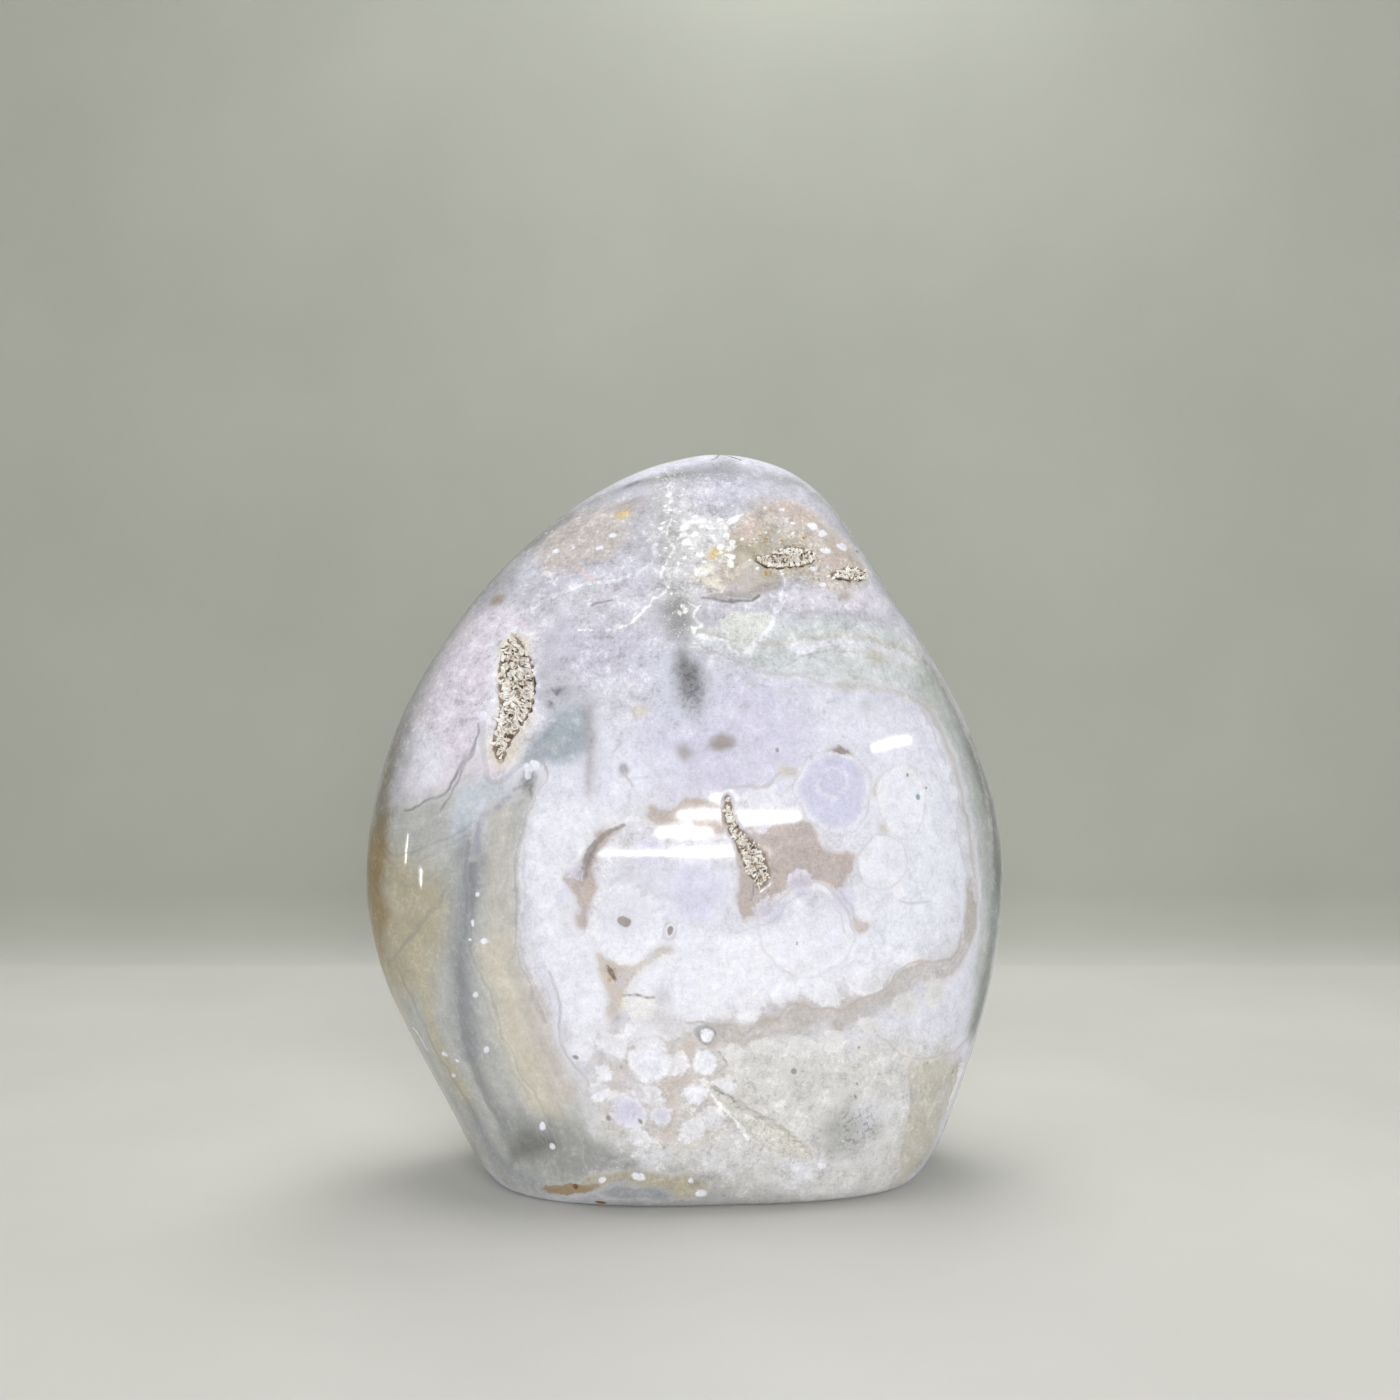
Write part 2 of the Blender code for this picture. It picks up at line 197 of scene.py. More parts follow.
# Broad colour of the front, from the ground up.
FRONT_TONES = (
    # Partly painted shade: the upper half greyer, partly its own colour and partly darkened against the
    # light from above.
    tone("upper_grey", 70, (380, 760), (400, 640), (480, 540), (600, 440), (800, 440), (900, 560),
        (960, 680), (900, 690), (800, 660), (690, 700), (560, 720), (470, 760)),
    tone("grey_lilac", 24, (470, 560), (560, 580), (660, 560), (760, 620), (700, 640), (640, 640),
        (560, 650), (470, 640), opacity=0.5),
    tone("grey_white", 40, (600, 1010), (760, 1040), (960, 1030), (940, 1200), (560, 1200)),
    tone("grey", 34, (640, 1150), (760, 1160), (900, 1150), (900, 1210), (600, 1210), opacity=0.9),
    tone("pale_pink", 14, (395, 640), (440, 600), (520, 600), (540, 640), (530, 720), (500, 790),
        (430, 800), (392, 800)),
    dots("white", (424, 758, 26, 26), layer="tone", soft=14, opacity=0.8),
    wash("white", 25, 9, (514, 655), (514, 700), (505, 740), opacity=0.8),
    wash("druse_wall", 17, 9, (516, 652), (516, 700), (508, 728), (503, 748), opacity=0.9),
    tone("lilac", 26, (640, 690), (700, 672), (800, 680), (812, 740), (790, 790), (700, 800), (650, 790)),
    tone("lilac", 20, (600, 560), (690, 590), (690, 660), (620, 690), (540, 660), (540, 590), opacity=0.5),
    tone("lilac", 12, (655, 480), (760, 458), (800, 480), (700, 512), (664, 520), opacity=0.8),
    tone("green_grey", 9, (690, 620), (725, 640), (790, 616), (870, 622), (925, 630), (945, 680),
        (900, 690), (830, 688), (770, 672), (720, 655), (690, 648)),
    tone("grey_white", 16, (812, 636), (880, 640), (930, 668), (900, 688), (840, 684), (812, 668),
        opacity=0.4),
    tone("pale_lilac", 8, (784, 586), (870, 586), (900, 612), (850, 612), (788, 608)),
    tone("grey_white", 22, (690, 1060), (780, 1050), (900, 1050), (965, 1040), (940, 1150), (890, 1195),
        (740, 1190), (660, 1140)),
    tone("grey_lilac", 14, (560, 575), (600, 585), (650, 585), (655, 640), (600, 620), (520, 620)),
    tone("pale_grey", 14, (388, 804), (440, 792), (478, 776), (500, 790), (542, 778), (530, 815),
        (519, 860), (520, 930), (540, 985), (560, 1060), (585, 1105), (600, 1160), (570, 1200), (490, 1195),
        (430, 1100), (388, 1000), (362, 930), (362, 860), (372, 812)),
    tone("blue_grey", 8, (548, 722), (562, 712), (580, 702), (592, 712), (590, 735), (580, 755), (560, 768),
        (545, 765), (530, 770), (515, 765), (525, 748), (538, 732)),
    tone("pale_blue", 9, (450, 800), (478, 770), (500, 788), (520, 790), (500, 815), (484, 840), (462, 850),
        (444, 830)),
    tone("olive_grey", 26, (386, 846), (420, 868), (446, 880), (448, 925), (436, 965), (404, 1010),
        (384, 960), (382, 900)),
    wash("warm_grey", 13, 8, (500, 812), (497, 850), (497, 900), (502, 950)),
    wash("cool_grey", 13, 12, (468, 838), (466, 870), (462, 920), (460, 960), (462, 1010), (470, 1050)),
    wash("dark_band", 6, 8, (473, 850), (471, 885), (463, 930), (461, 980), (466, 1035), (476, 1070),
        (488, 1100), (510, 1130), opacity=0.6),
    wash("beige_band", 17, 12, (497, 950), (506, 1000), (520, 1050), (540, 1100), (566, 1150)),
    wash("pink_beige", 7, 12, (531, 985), (541, 1020), (550, 1060), (566, 1095)),
    wash("pale_tan", 9, 12, (420, 960), (426, 1010), (444, 1060), (470, 1110)),
    wash("cool_grey", 9, 14, (470, 1110), (490, 1150), (520, 1178), (560, 1190)),
    tone("tan", 15, (405, 700), (392, 745), (383, 775), (375, 815), (366, 850), (364, 885), (364, 905),
        (368, 950), (388, 1010), (396, 1010), (390, 970), (384, 940), (390, 915), (382, 895), (386, 870),
        (388, 840), (391, 790), (393, 760), (401, 722)),
    wash("olive", 7, 9, (384, 960), (398, 1005), (420, 1060), (450, 1120), (478, 1160), opacity=0.8),
    tone("white", 8, (536, 806), (560, 796), (596, 800), (640, 812), (640, 830), (600, 826), (584, 848),
        (570, 880), (580, 930), (596, 960), (604, 1010), (604, 1050), (580, 1064), (566, 1040), (556, 990),
        (540, 940), (528, 890), (530, 840)),
    tone("pink_beige", 20, (590, 1030), (640, 1024), (700, 1040), (740, 1090), (720, 1140), (650, 1145),
        (600, 1120), opacity=0.55),
    # Partly painted glints: bright white of the crest's rough crystals.
    tone("spark_white", 9, (686, 520), (735, 516), (742, 545), (722, 558), (696, 564), (684, 545),
        opacity=0.5),
    tone("lobe_grey", 14, (604, 856), (640, 842), (730, 850), (736, 910), (690, 925), (650, 930),
        (600, 944), (592, 900), opacity=0.75),
    tone("lobe_grey", 14, (780, 900), (805, 892), (840, 905), (846, 950), (800, 962), (772, 940),
        opacity=0.6),
    wash("white", 5, 6, (900, 618), (940, 654), (972, 708), (988, 765), (997, 830), (999, 900),
        opacity=0.7),
    tone("low_grey", 14, (500, 1110), (560, 1115), (600, 1140), (640, 1160), (640, 1180), (560, 1176),
        (500, 1150), opacity=0.9),
    tone("pure_white", 40, (560, 800), (700, 830), (860, 780), (940, 760), (965, 860), (950, 950),
        (800, 1000), (640, 1010), (590, 960), opacity=0.45),
    tone("white", 20, (650, 965), (740, 930), (800, 960), (900, 950), (930, 960), (870, 990), (790, 1005),
        (690, 1015)),
    tone("pink_beige", 30, (590, 830), (650, 800), (740, 790), (850, 830), (860, 890), (760, 920),
        (730, 860), (650, 850), (600, 880), (585, 930), (570, 900), opacity=0.35),
    tone("band_grey", 14, (640, 1010), (700, 1020), (800, 1000), (900, 965), (960, 940), (970, 960),
        (900, 1000), (840, 1030), (740, 1050), (650, 1035), opacity=0.5),
    wash("white", 4, 8, (790, 648), (850, 640), (900, 650), (935, 690), (962, 750), opacity=0.7),
    wash("warm_grey", 3, 6, (700, 632), (760, 646), (830, 634), (890, 640), (930, 668), (968, 740),
        (985, 820), opacity=0.8),
    wash("green_grey", 6, 8, (780, 662), (850, 660), (900, 672), (930, 710), (958, 780), (968, 860),
        (970, 940), opacity=0.8),
    tone("halo", 16, (645, 640), (690, 640), (716, 690), (690, 730), (655, 720), opacity=0.3),
    tone("pure_white", 18, (890, 760), (925, 770), (950, 840), (950, 900), (925, 950), (880, 960),
        (892, 880)),
    tone("rim_grey", 12, (925, 640), (960, 690), (985, 740), (1005, 800), (1008, 900), (1000, 980),
        (985, 1040), (968, 1036), (980, 940), (980, 870), (968, 790), (945, 730), (905, 690)),
    # Partly painted shade: dark teal at the right edge, darkened where the surface turns away.
    wash("teal", 14, 12, (975, 740), (1002, 810), (1012, 900), (1004, 980), (990, 1030)),
    tone("sand", 9, (915, 1062), (958, 1058), (962, 1062), (955, 1090), (940, 1125), (922, 1165),
        (908, 1182), (893, 1190), (900, 1168), (905, 1135), (910, 1095), (908, 1070)),
    tone("grey", 12, (830, 1112), (878, 1108), (884, 1140), (850, 1156), (820, 1150), opacity=0.8),
    tone("grey_white", 24, (650, 465), (700, 455), (706, 560), (694, 630), (660, 630), (662, 560),
        (655, 500), opacity=0.6),
    wash("grey", 5, 18, (650, 480), (662, 540), (676, 600), (684, 650), opacity=0.6),
    # Painted shade: dark bands along the left, top and right rims, where the surface turns away from the
    # light.
    wash("rim_shade", 20, 40, (382, 800), (404, 730), (428, 662), (460, 604), (500, 556), (544, 512),
        opacity=0.9),
    wash("rim_shade", 9, 22, (544, 510), (590, 480), (640, 462), (700, 455), (760, 458), (808, 486),
        (852, 536), (894, 600), (940, 680), (976, 765), (996, 850), opacity=0.7),
    tone("smoke", 12, (678, 650), (692, 660), (704, 682), (706, 700), (694, 716), (680, 700), opacity=0.85),
    wash("brown_grey", 4, 7, (588, 705), (590, 740), (590, 790), opacity=0.6),
    tone("smoke", 9, (655, 606), (690, 600), (694, 636), (664, 640), opacity=0.45),
    tone("smoke", 9, (516, 1132), (545, 1132), (558, 1146), (530, 1158), (508, 1168), opacity=0.55),
    tone("sandy", 18, (540, 548), (560, 522), (600, 505), (640, 500), (636, 520), (622, 545), (595, 558),
        (552, 572), (536, 560), opacity=0.6),
    tone("sandy", 16, (735, 525), (765, 502), (805, 502), (850, 545), (872, 575), (850, 592), (800, 575),
        (735, 592), (708, 590), (722, 550), opacity=0.8),
    tone("olive", 14, (745, 535), (790, 530), (822, 556), (790, 580), (735, 590), opacity=0.8),
    dots("pink_fold", (790, 510, 26, 10), (745, 530, 12, 14), (832, 560, 14, 10), layer="tone", soft=12,
        opacity=0.6),
    tone("cool_grey", 10, (575, 1180), (690, 1172), (712, 1185), (690, 1204), (590, 1206), opacity=0.6),
)

# Fields and bands of matrix, and what lies in them.
FRONT_FIELDS = (
    area("pink_brown", (622, 826), (608, 826), (600, 828), (590, 838), (584, 850), (575, 862), (567, 875),
        (568, 885), (576, 893), (580, 902), (578, 925), (585, 930), (590, 920), (590, 900), (597, 890),
        (599, 880), (595, 868), (598, 848), (605, 838)),
    area("pink_brown", (638, 812), (645, 803), (655, 803), (670, 806), (680, 797), (690, 793), (705, 796),
        (712, 800), (720, 810), (728, 820), (720, 835), (700, 830), (690, 818), (665, 826), (652, 818)),
    area("pink_brown", (738, 830), (770, 826), (800, 822), (815, 828), (815, 845), (825, 850), (850, 850),
        (852, 860), (848, 878), (843, 892), (832, 887), (815, 882), (800, 884), (787, 892), (775, 905),
        (760, 915), (745, 918), (737, 915), (739, 900), (738, 880), (736, 850)),
    area("pink_beige", (592, 935), (597, 950), (605, 957), (620, 960), (640, 957), (652, 950), (665, 945),
        (672, 948), (665, 960), (650, 962), (640, 968), (632, 980), (625, 990), (620, 1022), (606, 1020),
        (603, 985), (597, 975), (594, 960)),
    area("band_grey", (690, 1025), (700, 1022), (718, 1027), (722, 1023), (735, 1024), (742, 1035),
        (746, 1040), (752, 1030), (760, 1022), (770, 1021), (778, 1025), (785, 1012), (795, 1007),
        (805, 1008), (818, 1012), (830, 1012), (840, 1015), (845, 1010), (842, 1035), (835, 1035),
        (830, 1028), (822, 1022), (812, 1022), (805, 1028), (803, 1035), (798, 1040), (785, 1035),
        (765, 1038), (762, 1045), (755, 1050), (742, 1045), (735, 1042), (718, 1040), (712, 1050),
        (700, 1042)),
    area("band_grey", (838, 1016), (845, 1010), (853, 1003), (860, 998), (872, 997), (880, 990), (888, 984),
        (895, 978), (900, 972), (910, 967), (925, 964), (933, 967), (945, 965), (955, 958), (960, 950),
        (963, 930), (966, 880), (974, 880), (977, 920), (975, 930), (970, 940), (968, 950), (965, 960),
        (956, 968), (950, 978), (940, 980), (930, 984), (910, 982), (900, 985), (890, 995), (880, 1005),
        (872, 1015), (860, 1020), (850, 1025), (842, 1035)),
    stroke("band_grey", 7, (640, 1012), (670, 1020), (700, 1030), (740, 1032), (780, 1022), (820, 1016),
        (850, 1012), (880, 998), (920, 976), (950, 966), (964, 944), layer="matrix", opacity=0.5),
    stroke("band_grey", 2.8, (836, 690), (880, 686), (920, 700), (946, 742), (962, 790), (970, 840),
        (974, 880), layer="matrix", opacity=0.6),
    stroke("line_grey", 2.2, (905, 632), (940, 668), (966, 716), (982, 770), (990, 830), (993, 890),
        layer="matrix", opacity=0.7),
    area("pink_beige", (690, 1040), (700, 1045), (690, 1055), (688, 1070), (690, 1085), (675, 1090),
        (672, 1100), (675, 1110), (672, 1125), (675, 1135), (665, 1140), (655, 1136), (665, 1125),
        (670, 1110), (665, 1100), (655, 1100), (650, 1085), (660, 1080), (672, 1078), (676, 1060),
        (682, 1045)),
    area("pink_beige", (540, 548), (560, 525), (590, 518), (600, 515), (620, 520), (625, 530), (622, 545),
        (612, 555), (595, 558), (580, 558), (570, 562), (555, 570), (542, 570), (538, 560), opacity=0.35),
    area("sandy", (735, 525), (750, 515), (765, 505), (785, 503), (805, 505), (820, 515), (835, 530),
        (850, 545), (862, 560), (870, 575), (865, 588), (845, 590), (828, 588), (818, 580), (800, 572),
        (785, 580), (760, 575), (740, 580), (725, 590), (715, 575), (722, 560), (728, 540), opacity=0.3),
    area("brown_grey", (700, 600), (712, 592), (735, 592), (762, 582), (786, 580), (784, 590), (762, 594),
        (735, 600), opacity=0.6),
    area("cream", (617, 995), (640, 998), (655, 1000), (652, 1010), (640, 1020), (622, 1012), (620, 1003)),
    area("cream", (692, 575), (700, 562), (715, 560), (722, 568), (720, 580), (718, 590), (705, 592),
        (698, 585)),
    area("flap", (725, 612), (745, 612), (775, 610), (774, 620), (766, 630), (760, 641), (750, 652),
        (741, 657), (733, 652), (726, 640), (722, 628)),
    area("olive", (575, 1180), (590, 1175), (612, 1178), (625, 1172), (650, 1170), (665, 1175), (690, 1172),
        (705, 1178), (710, 1185), (700, 1195), (690, 1200), (665, 1188), (620, 1186), (590, 1194),
        opacity=0.75),
    area("tan", (530, 1188), (560, 1183), (600, 1186), (598, 1192), (560, 1195), opacity=0.9),
    area("cool_grey", (600, 1194), (620, 1188), (660, 1189), (680, 1196), (650, 1201), (612, 1200)),
    area("stone_cream", (740, 1120), (755, 1118), (775, 1126), (790, 1132), (798, 1145), (800, 1158),
        (785, 1157), (765, 1150), (748, 1138)),
    area("sandy", (776, 1136), (798, 1140), (815, 1152), (809, 1162), (790, 1159), opacity=0.8),
    area("beige", (778, 767), (793, 767), (793, 778), (778, 778)),
    area("brown_grey", (843, 738), (820, 754), (854, 757)),
    area("beige", (876, 782), (881, 784), (881, 794), (873, 799)),
    area("beige", (880, 820), (872, 833), (888, 833)),
    area("beige", (632, 702), (653, 710), (636, 725)),
    area("pink_beige", (853, 912), (873, 922), (866, 935), (858, 935)),
    area("green_grey", (560, 585), (595, 582), (600, 592), (575, 598), opacity=0.7),
    area("smoky_lilac", (520, 795), (505, 803), (490, 812), (482, 825), (480, 858), (474, 858), (475, 822),
        (486, 806), (505, 797), (520, 789), opacity=0.75),
)

# Pale bodies that stand in front of the matrix.
FRONT_LOBES = (
    lobe("lilac_orb", (834, 790, 38, 41), opacity=0.9),
    lobe("white", (880, 862, 27, 26), (877, 898, 27, 21), (903, 800, 27, 35), opacity=0.65),
    lobe("white", (808, 930, 46, 44), opacity=0.5),
    lobe("lavender", (697, 890, 28), (650, 850, 16, 20), opacity=0.5),
    lobe("white", (625, 922, 35), (665, 1000, 40), (740, 960, 26, 20), (760, 800, 22, 14), opacity=0.5),
    lobe("white", (705, 1062, 13), (692, 1096, 12), (650, 1060, 20), (600, 1072, 9), (600, 1092, 11)),
    lobe("white", (690, 1008, 14, 11), (716, 1011, 11, 9), (750, 1008, 15, 12), (786, 997, 14, 12),
        (825, 995, 17, 12), (866, 982, 17, 12), (906, 960, 15, 11), opacity=0.6),
    lobe("grey_white", (735, 1054, 11, 9), (765, 1049, 13, 10), (800, 1046, 15, 11), (832, 1042, 12, 9),
        (868, 1027, 15, 11), (905, 1004, 16, 11), (936, 994, 14, 10), opacity=0.7),
    lobe("lavender", (741, 838, 9), (762, 825, 9), (800, 884, 11), (770, 908, 12), (846, 898, 11),
        (690, 834, 9), (578, 868, 8), (566, 896, 9), opacity=0.55),
    lobe("white", (612, 1046, 15, 13), (640, 1036, 15, 12), (676, 1064, 10), (618, 1098, 11, 9),
        (650, 1092, 14, 11), (690, 1130, 12, 10), (724, 1092, 12), (712, 1120, 12, 10), (640, 1138, 13, 10),
        opacity=0.65),
    lobe("lilac", (630, 1112, 17), (660, 1115, 9)),
)

# Outlines, seams and cracks, with half widths in pixels.
FRONT_LINES = (
    stroke("dark_grey", 1.6, (480, 725), (478, 745), (465, 765), (455, 780), (440, 795), (420, 805),
        (405, 812), opacity=0.8),
    stroke("dark_grey", 1.2, (465, 765), (460, 780), (452, 790), (445, 800), (435, 812), opacity=0.7),
    stroke("cool_grey", 3.4, (484, 725), (484, 760), (487, 778), (495, 783), (505, 778), (520, 765),
        (540, 755), (560, 745), opacity=0.4),
    stroke("warm_line", 1.5, (537, 762), (543, 770), (544, 782), (540, 790), (532, 800), (526, 812),
        (522, 830), (516, 845), (513, 860), (512, 880), (513, 900), (515, 920), (516, 940), (520, 955),
        (532, 985), (544, 1020)),
    stroke("pale_line", 2.5, (547, 782), (537, 800), (531, 812), (527, 832), (521, 850), (518, 880),
        (519, 910), (524, 940), (536, 968), (545, 1000), opacity=0.6),
    stroke("warm_line", 1.4, (551, 970), (555, 990), (560, 1010), (562, 1035), (566, 1055), (572, 1068),
        (580, 1078), (590, 1088), opacity=0.8),
    stroke("seam", 3.0, (462, 940), (460, 1000), (465, 1040), (475, 1070), (482, 1095), (495, 1118),
        (510, 1130), (528, 1142), opacity=0.7),
    stroke("seam", 2.0, (445, 890), (430, 910), (415, 930), (400, 950), (388, 960), opacity=0.5),
    stroke("seam", 1.6, (396, 962), (410, 1000), (432, 1040), (455, 1085), (480, 1125), opacity=0.5),
    stroke("white", 1.6, (410, 1025), (420, 1038), (428, 1050)),
    stroke("line_grey", 1.2, (712, 797), (720, 788), (730, 784), (740, 785), (760, 790), (770, 782),
        (778, 775)),
    stroke("line_grey", 1.2, (795, 780), (796, 800), (805, 815), (818, 822)),
    stroke("line_grey", 1.2, (775, 905), (790, 890), (805, 883), (820, 884), (835, 892), (845, 903),
        (852, 920), (856, 935)),
    stroke("line_grey", 1.0, (778, 912), (792, 898), (806, 891), (820, 892), (832, 900), (841, 912),
        (846, 930), opacity=0.7),
    stroke("line_grey", 1.2, (843, 890), (850, 905), (856, 918), (868, 922)),
    stroke("line_grey", 1.0, (900, 905), (930, 905)),
    stroke("line_grey", 1.0, (805, 757), (810, 753), (820, 754)),
    stroke("line_grey", 1.1, (636, 725), (632, 702), (612, 706)),
    stroke("line_grey", 1.3, (618, 740), (624, 742), (612, 750)),
    stroke("line_grey", 1.2, (626, 765), (630, 775), (634, 785)),
    stroke("white", 1.3, (733, 905), (731, 915), (736, 930), (745, 925), (760, 920), (775, 907)),
    stroke("line_grey", 1.0, (729, 905), (727, 918), (735, 934), (748, 930), (764, 923), (778, 912)),
    stroke("dark_grey", 0.8, (754, 885), (754, 897)),
    stroke("brown", 0.9, (620, 995), (638, 996), (655, 1000)),
    stroke("brown_grey", 1.2, (718, 1050), (725, 1060), (730, 1067), (722, 1070), (718, 1075)),
    stroke("line_tan", 1.3, (690, 1023), (700, 1020), (718, 1025), (735, 1022), (742, 1033), (746, 1038),
        (752, 1028), (760, 1020), (778, 1023), (785, 1010), (795, 1005), (818, 1010), (840, 1013),
        (853, 1001), (872, 995), (888, 982), (900, 970), (925, 962), (945, 963), (960, 948), (962, 930),
        opacity=0.8),
    stroke("line_grey", 1.4, (977, 900), (975, 880), (971, 860), (970, 840), (968, 815), (958, 800),
        (950, 780), (943, 760), (932, 735), (925, 715), (915, 700), (900, 680), opacity=0.55),
    stroke("line_grey", 1.0, (968, 900), (966, 880), (963, 860), (961, 840), (958, 820), (949, 804),
        (941, 784), (934, 763), (924, 740), (916, 720), (900, 700), opacity=0.4),
    stroke("white", 3.0, (973, 900), (971, 880), (967, 860), (966, 840), (963, 818), (954, 802), (946, 782),
        (939, 762), (928, 738), (921, 718), (908, 700), opacity=0.4),
    stroke("line_grey", 4.0, (580, 1075), (590, 1060), (600, 1055), (615, 1060), (630, 1075), (640, 1085),
        (645, 1095), opacity=0.6),
    stroke("line_grey", 3.5, (585, 1095), (600, 1085), (620, 1083), (640, 1088), opacity=0.6),
    # The gouge's white ridge and flake, partly painted glints.
    stroke("spark_white", 3.4, (702, 1080), (712, 1096), (724, 1108), (736, 1120), (748, 1134)),
    stroke("spark_white", 2.2, (740, 1116), (754, 1120), (770, 1124), (782, 1132)),
    # Painted shadow in the gouge's crack, on its upper side.
    stroke("brown", 1.5, (714, 1088), (730, 1100), (746, 1110), opacity=0.8),
    stroke("smoke", 1.2, (715, 1090), (735, 1103), (750, 1112)),
    stroke("line_tan", 1.3, (878, 1038), (890, 1045), (900, 1055), (915, 1060), (930, 1058), (945, 1055),
        (955, 1050), (965, 1042), (970, 1036), opacity=0.5),
    stroke("line_tan", 2.2, (912, 1062), (908, 1078), (911, 1095), (911, 1110), (905, 1122), (906, 1140),
        (905, 1152), (903, 1166), (893, 1178), (892, 1190), opacity=0.4),
    stroke("white", 2.6, (520, 614), (545, 600), (575, 586), (600, 580), (630, 578), (650, 566), (656, 545),
        opacity=0.85),
    # Partly painted glints: white sparkle along the rough crest.
    stroke("spark_white", 1.3, (672, 456), (664, 470), (673, 480), (663, 492), (670, 505), (660, 516),
        (674, 525), (664, 540), (678, 548), (667, 560), (660, 575), (669, 590), (652, 606), (640, 618),
        (622, 628), (600, 632), (580, 628), opacity=0.8),
    stroke("spark_white", 1.3, (684, 600), (696, 610), (702, 604), (692, 618), (704, 626), (690, 632),
        (698, 640)),
    stroke("smoke", 1.6, (700, 598), (720, 602), (742, 600), (760, 594), opacity=0.7),
    stroke("dark_grey", 1.2, (592, 605), (600, 601), (614, 599)),
    stroke("line_grey", 1.6, (790, 612), (820, 614), (850, 616), (870, 620), (890, 625), (900, 627)),
    stroke("line_grey", 1.6, (690, 645), (720, 655), (750, 668), (770, 672), (800, 676), (830, 690),
        opacity=0.8),
    stroke("white", 2.2, (700, 637), (712, 640), (725, 640)),
    stroke("white", 2.2, (800, 653), (820, 648), (840, 642)),
    stroke("white", 1.6, (778, 612), (781, 602), (785, 592), (788, 580), (786, 572), opacity=0.8),
    stroke("white", 2.2, (775, 610), (774, 620), (766, 630), (760, 641), (750, 652), (741, 657), (733, 652),
        (726, 640)),
    stroke("pink_fold", 2.5, (570, 562), (580, 570), (592, 576), opacity=0.7),
    stroke("pale_fold", 4.0, (730, 575), (745, 562), (760, 560), opacity=0.7),
    stroke("smoke", 1.5, (665, 462), (680, 457)),
    stroke("smoke", 1.5, (715, 458), (740, 460)),
    stroke("olive", 1.6, (683, 1184), (680, 1200)),
    rings("line_grey", 1.0, (834, 790, 39, 42), (880, 862, 28, 27), opacity=0.6),
    rings("white", 2.0, (834, 790, 35, 38), (834, 786, 14, 14), opacity=0.5),
    rings("line_grey", 0.9, (903, 800, 28, 36), (808, 930, 47, 45), opacity=0.4),
    rings("line_grey", 0.9, (697, 890, 29), opacity=0.2),
    rings("dark_grey", 1.4, (704, 1033, 8), opacity=0.8),
    rings("line_grey", 1.2, (669, 933, 7)),
    rings("line_grey", 1.2, (705, 1062, 13), (692, 1096, 12), (650, 1060, 21), (630, 1112, 18),
        (660, 1115, 10), opacity=0.4),
)

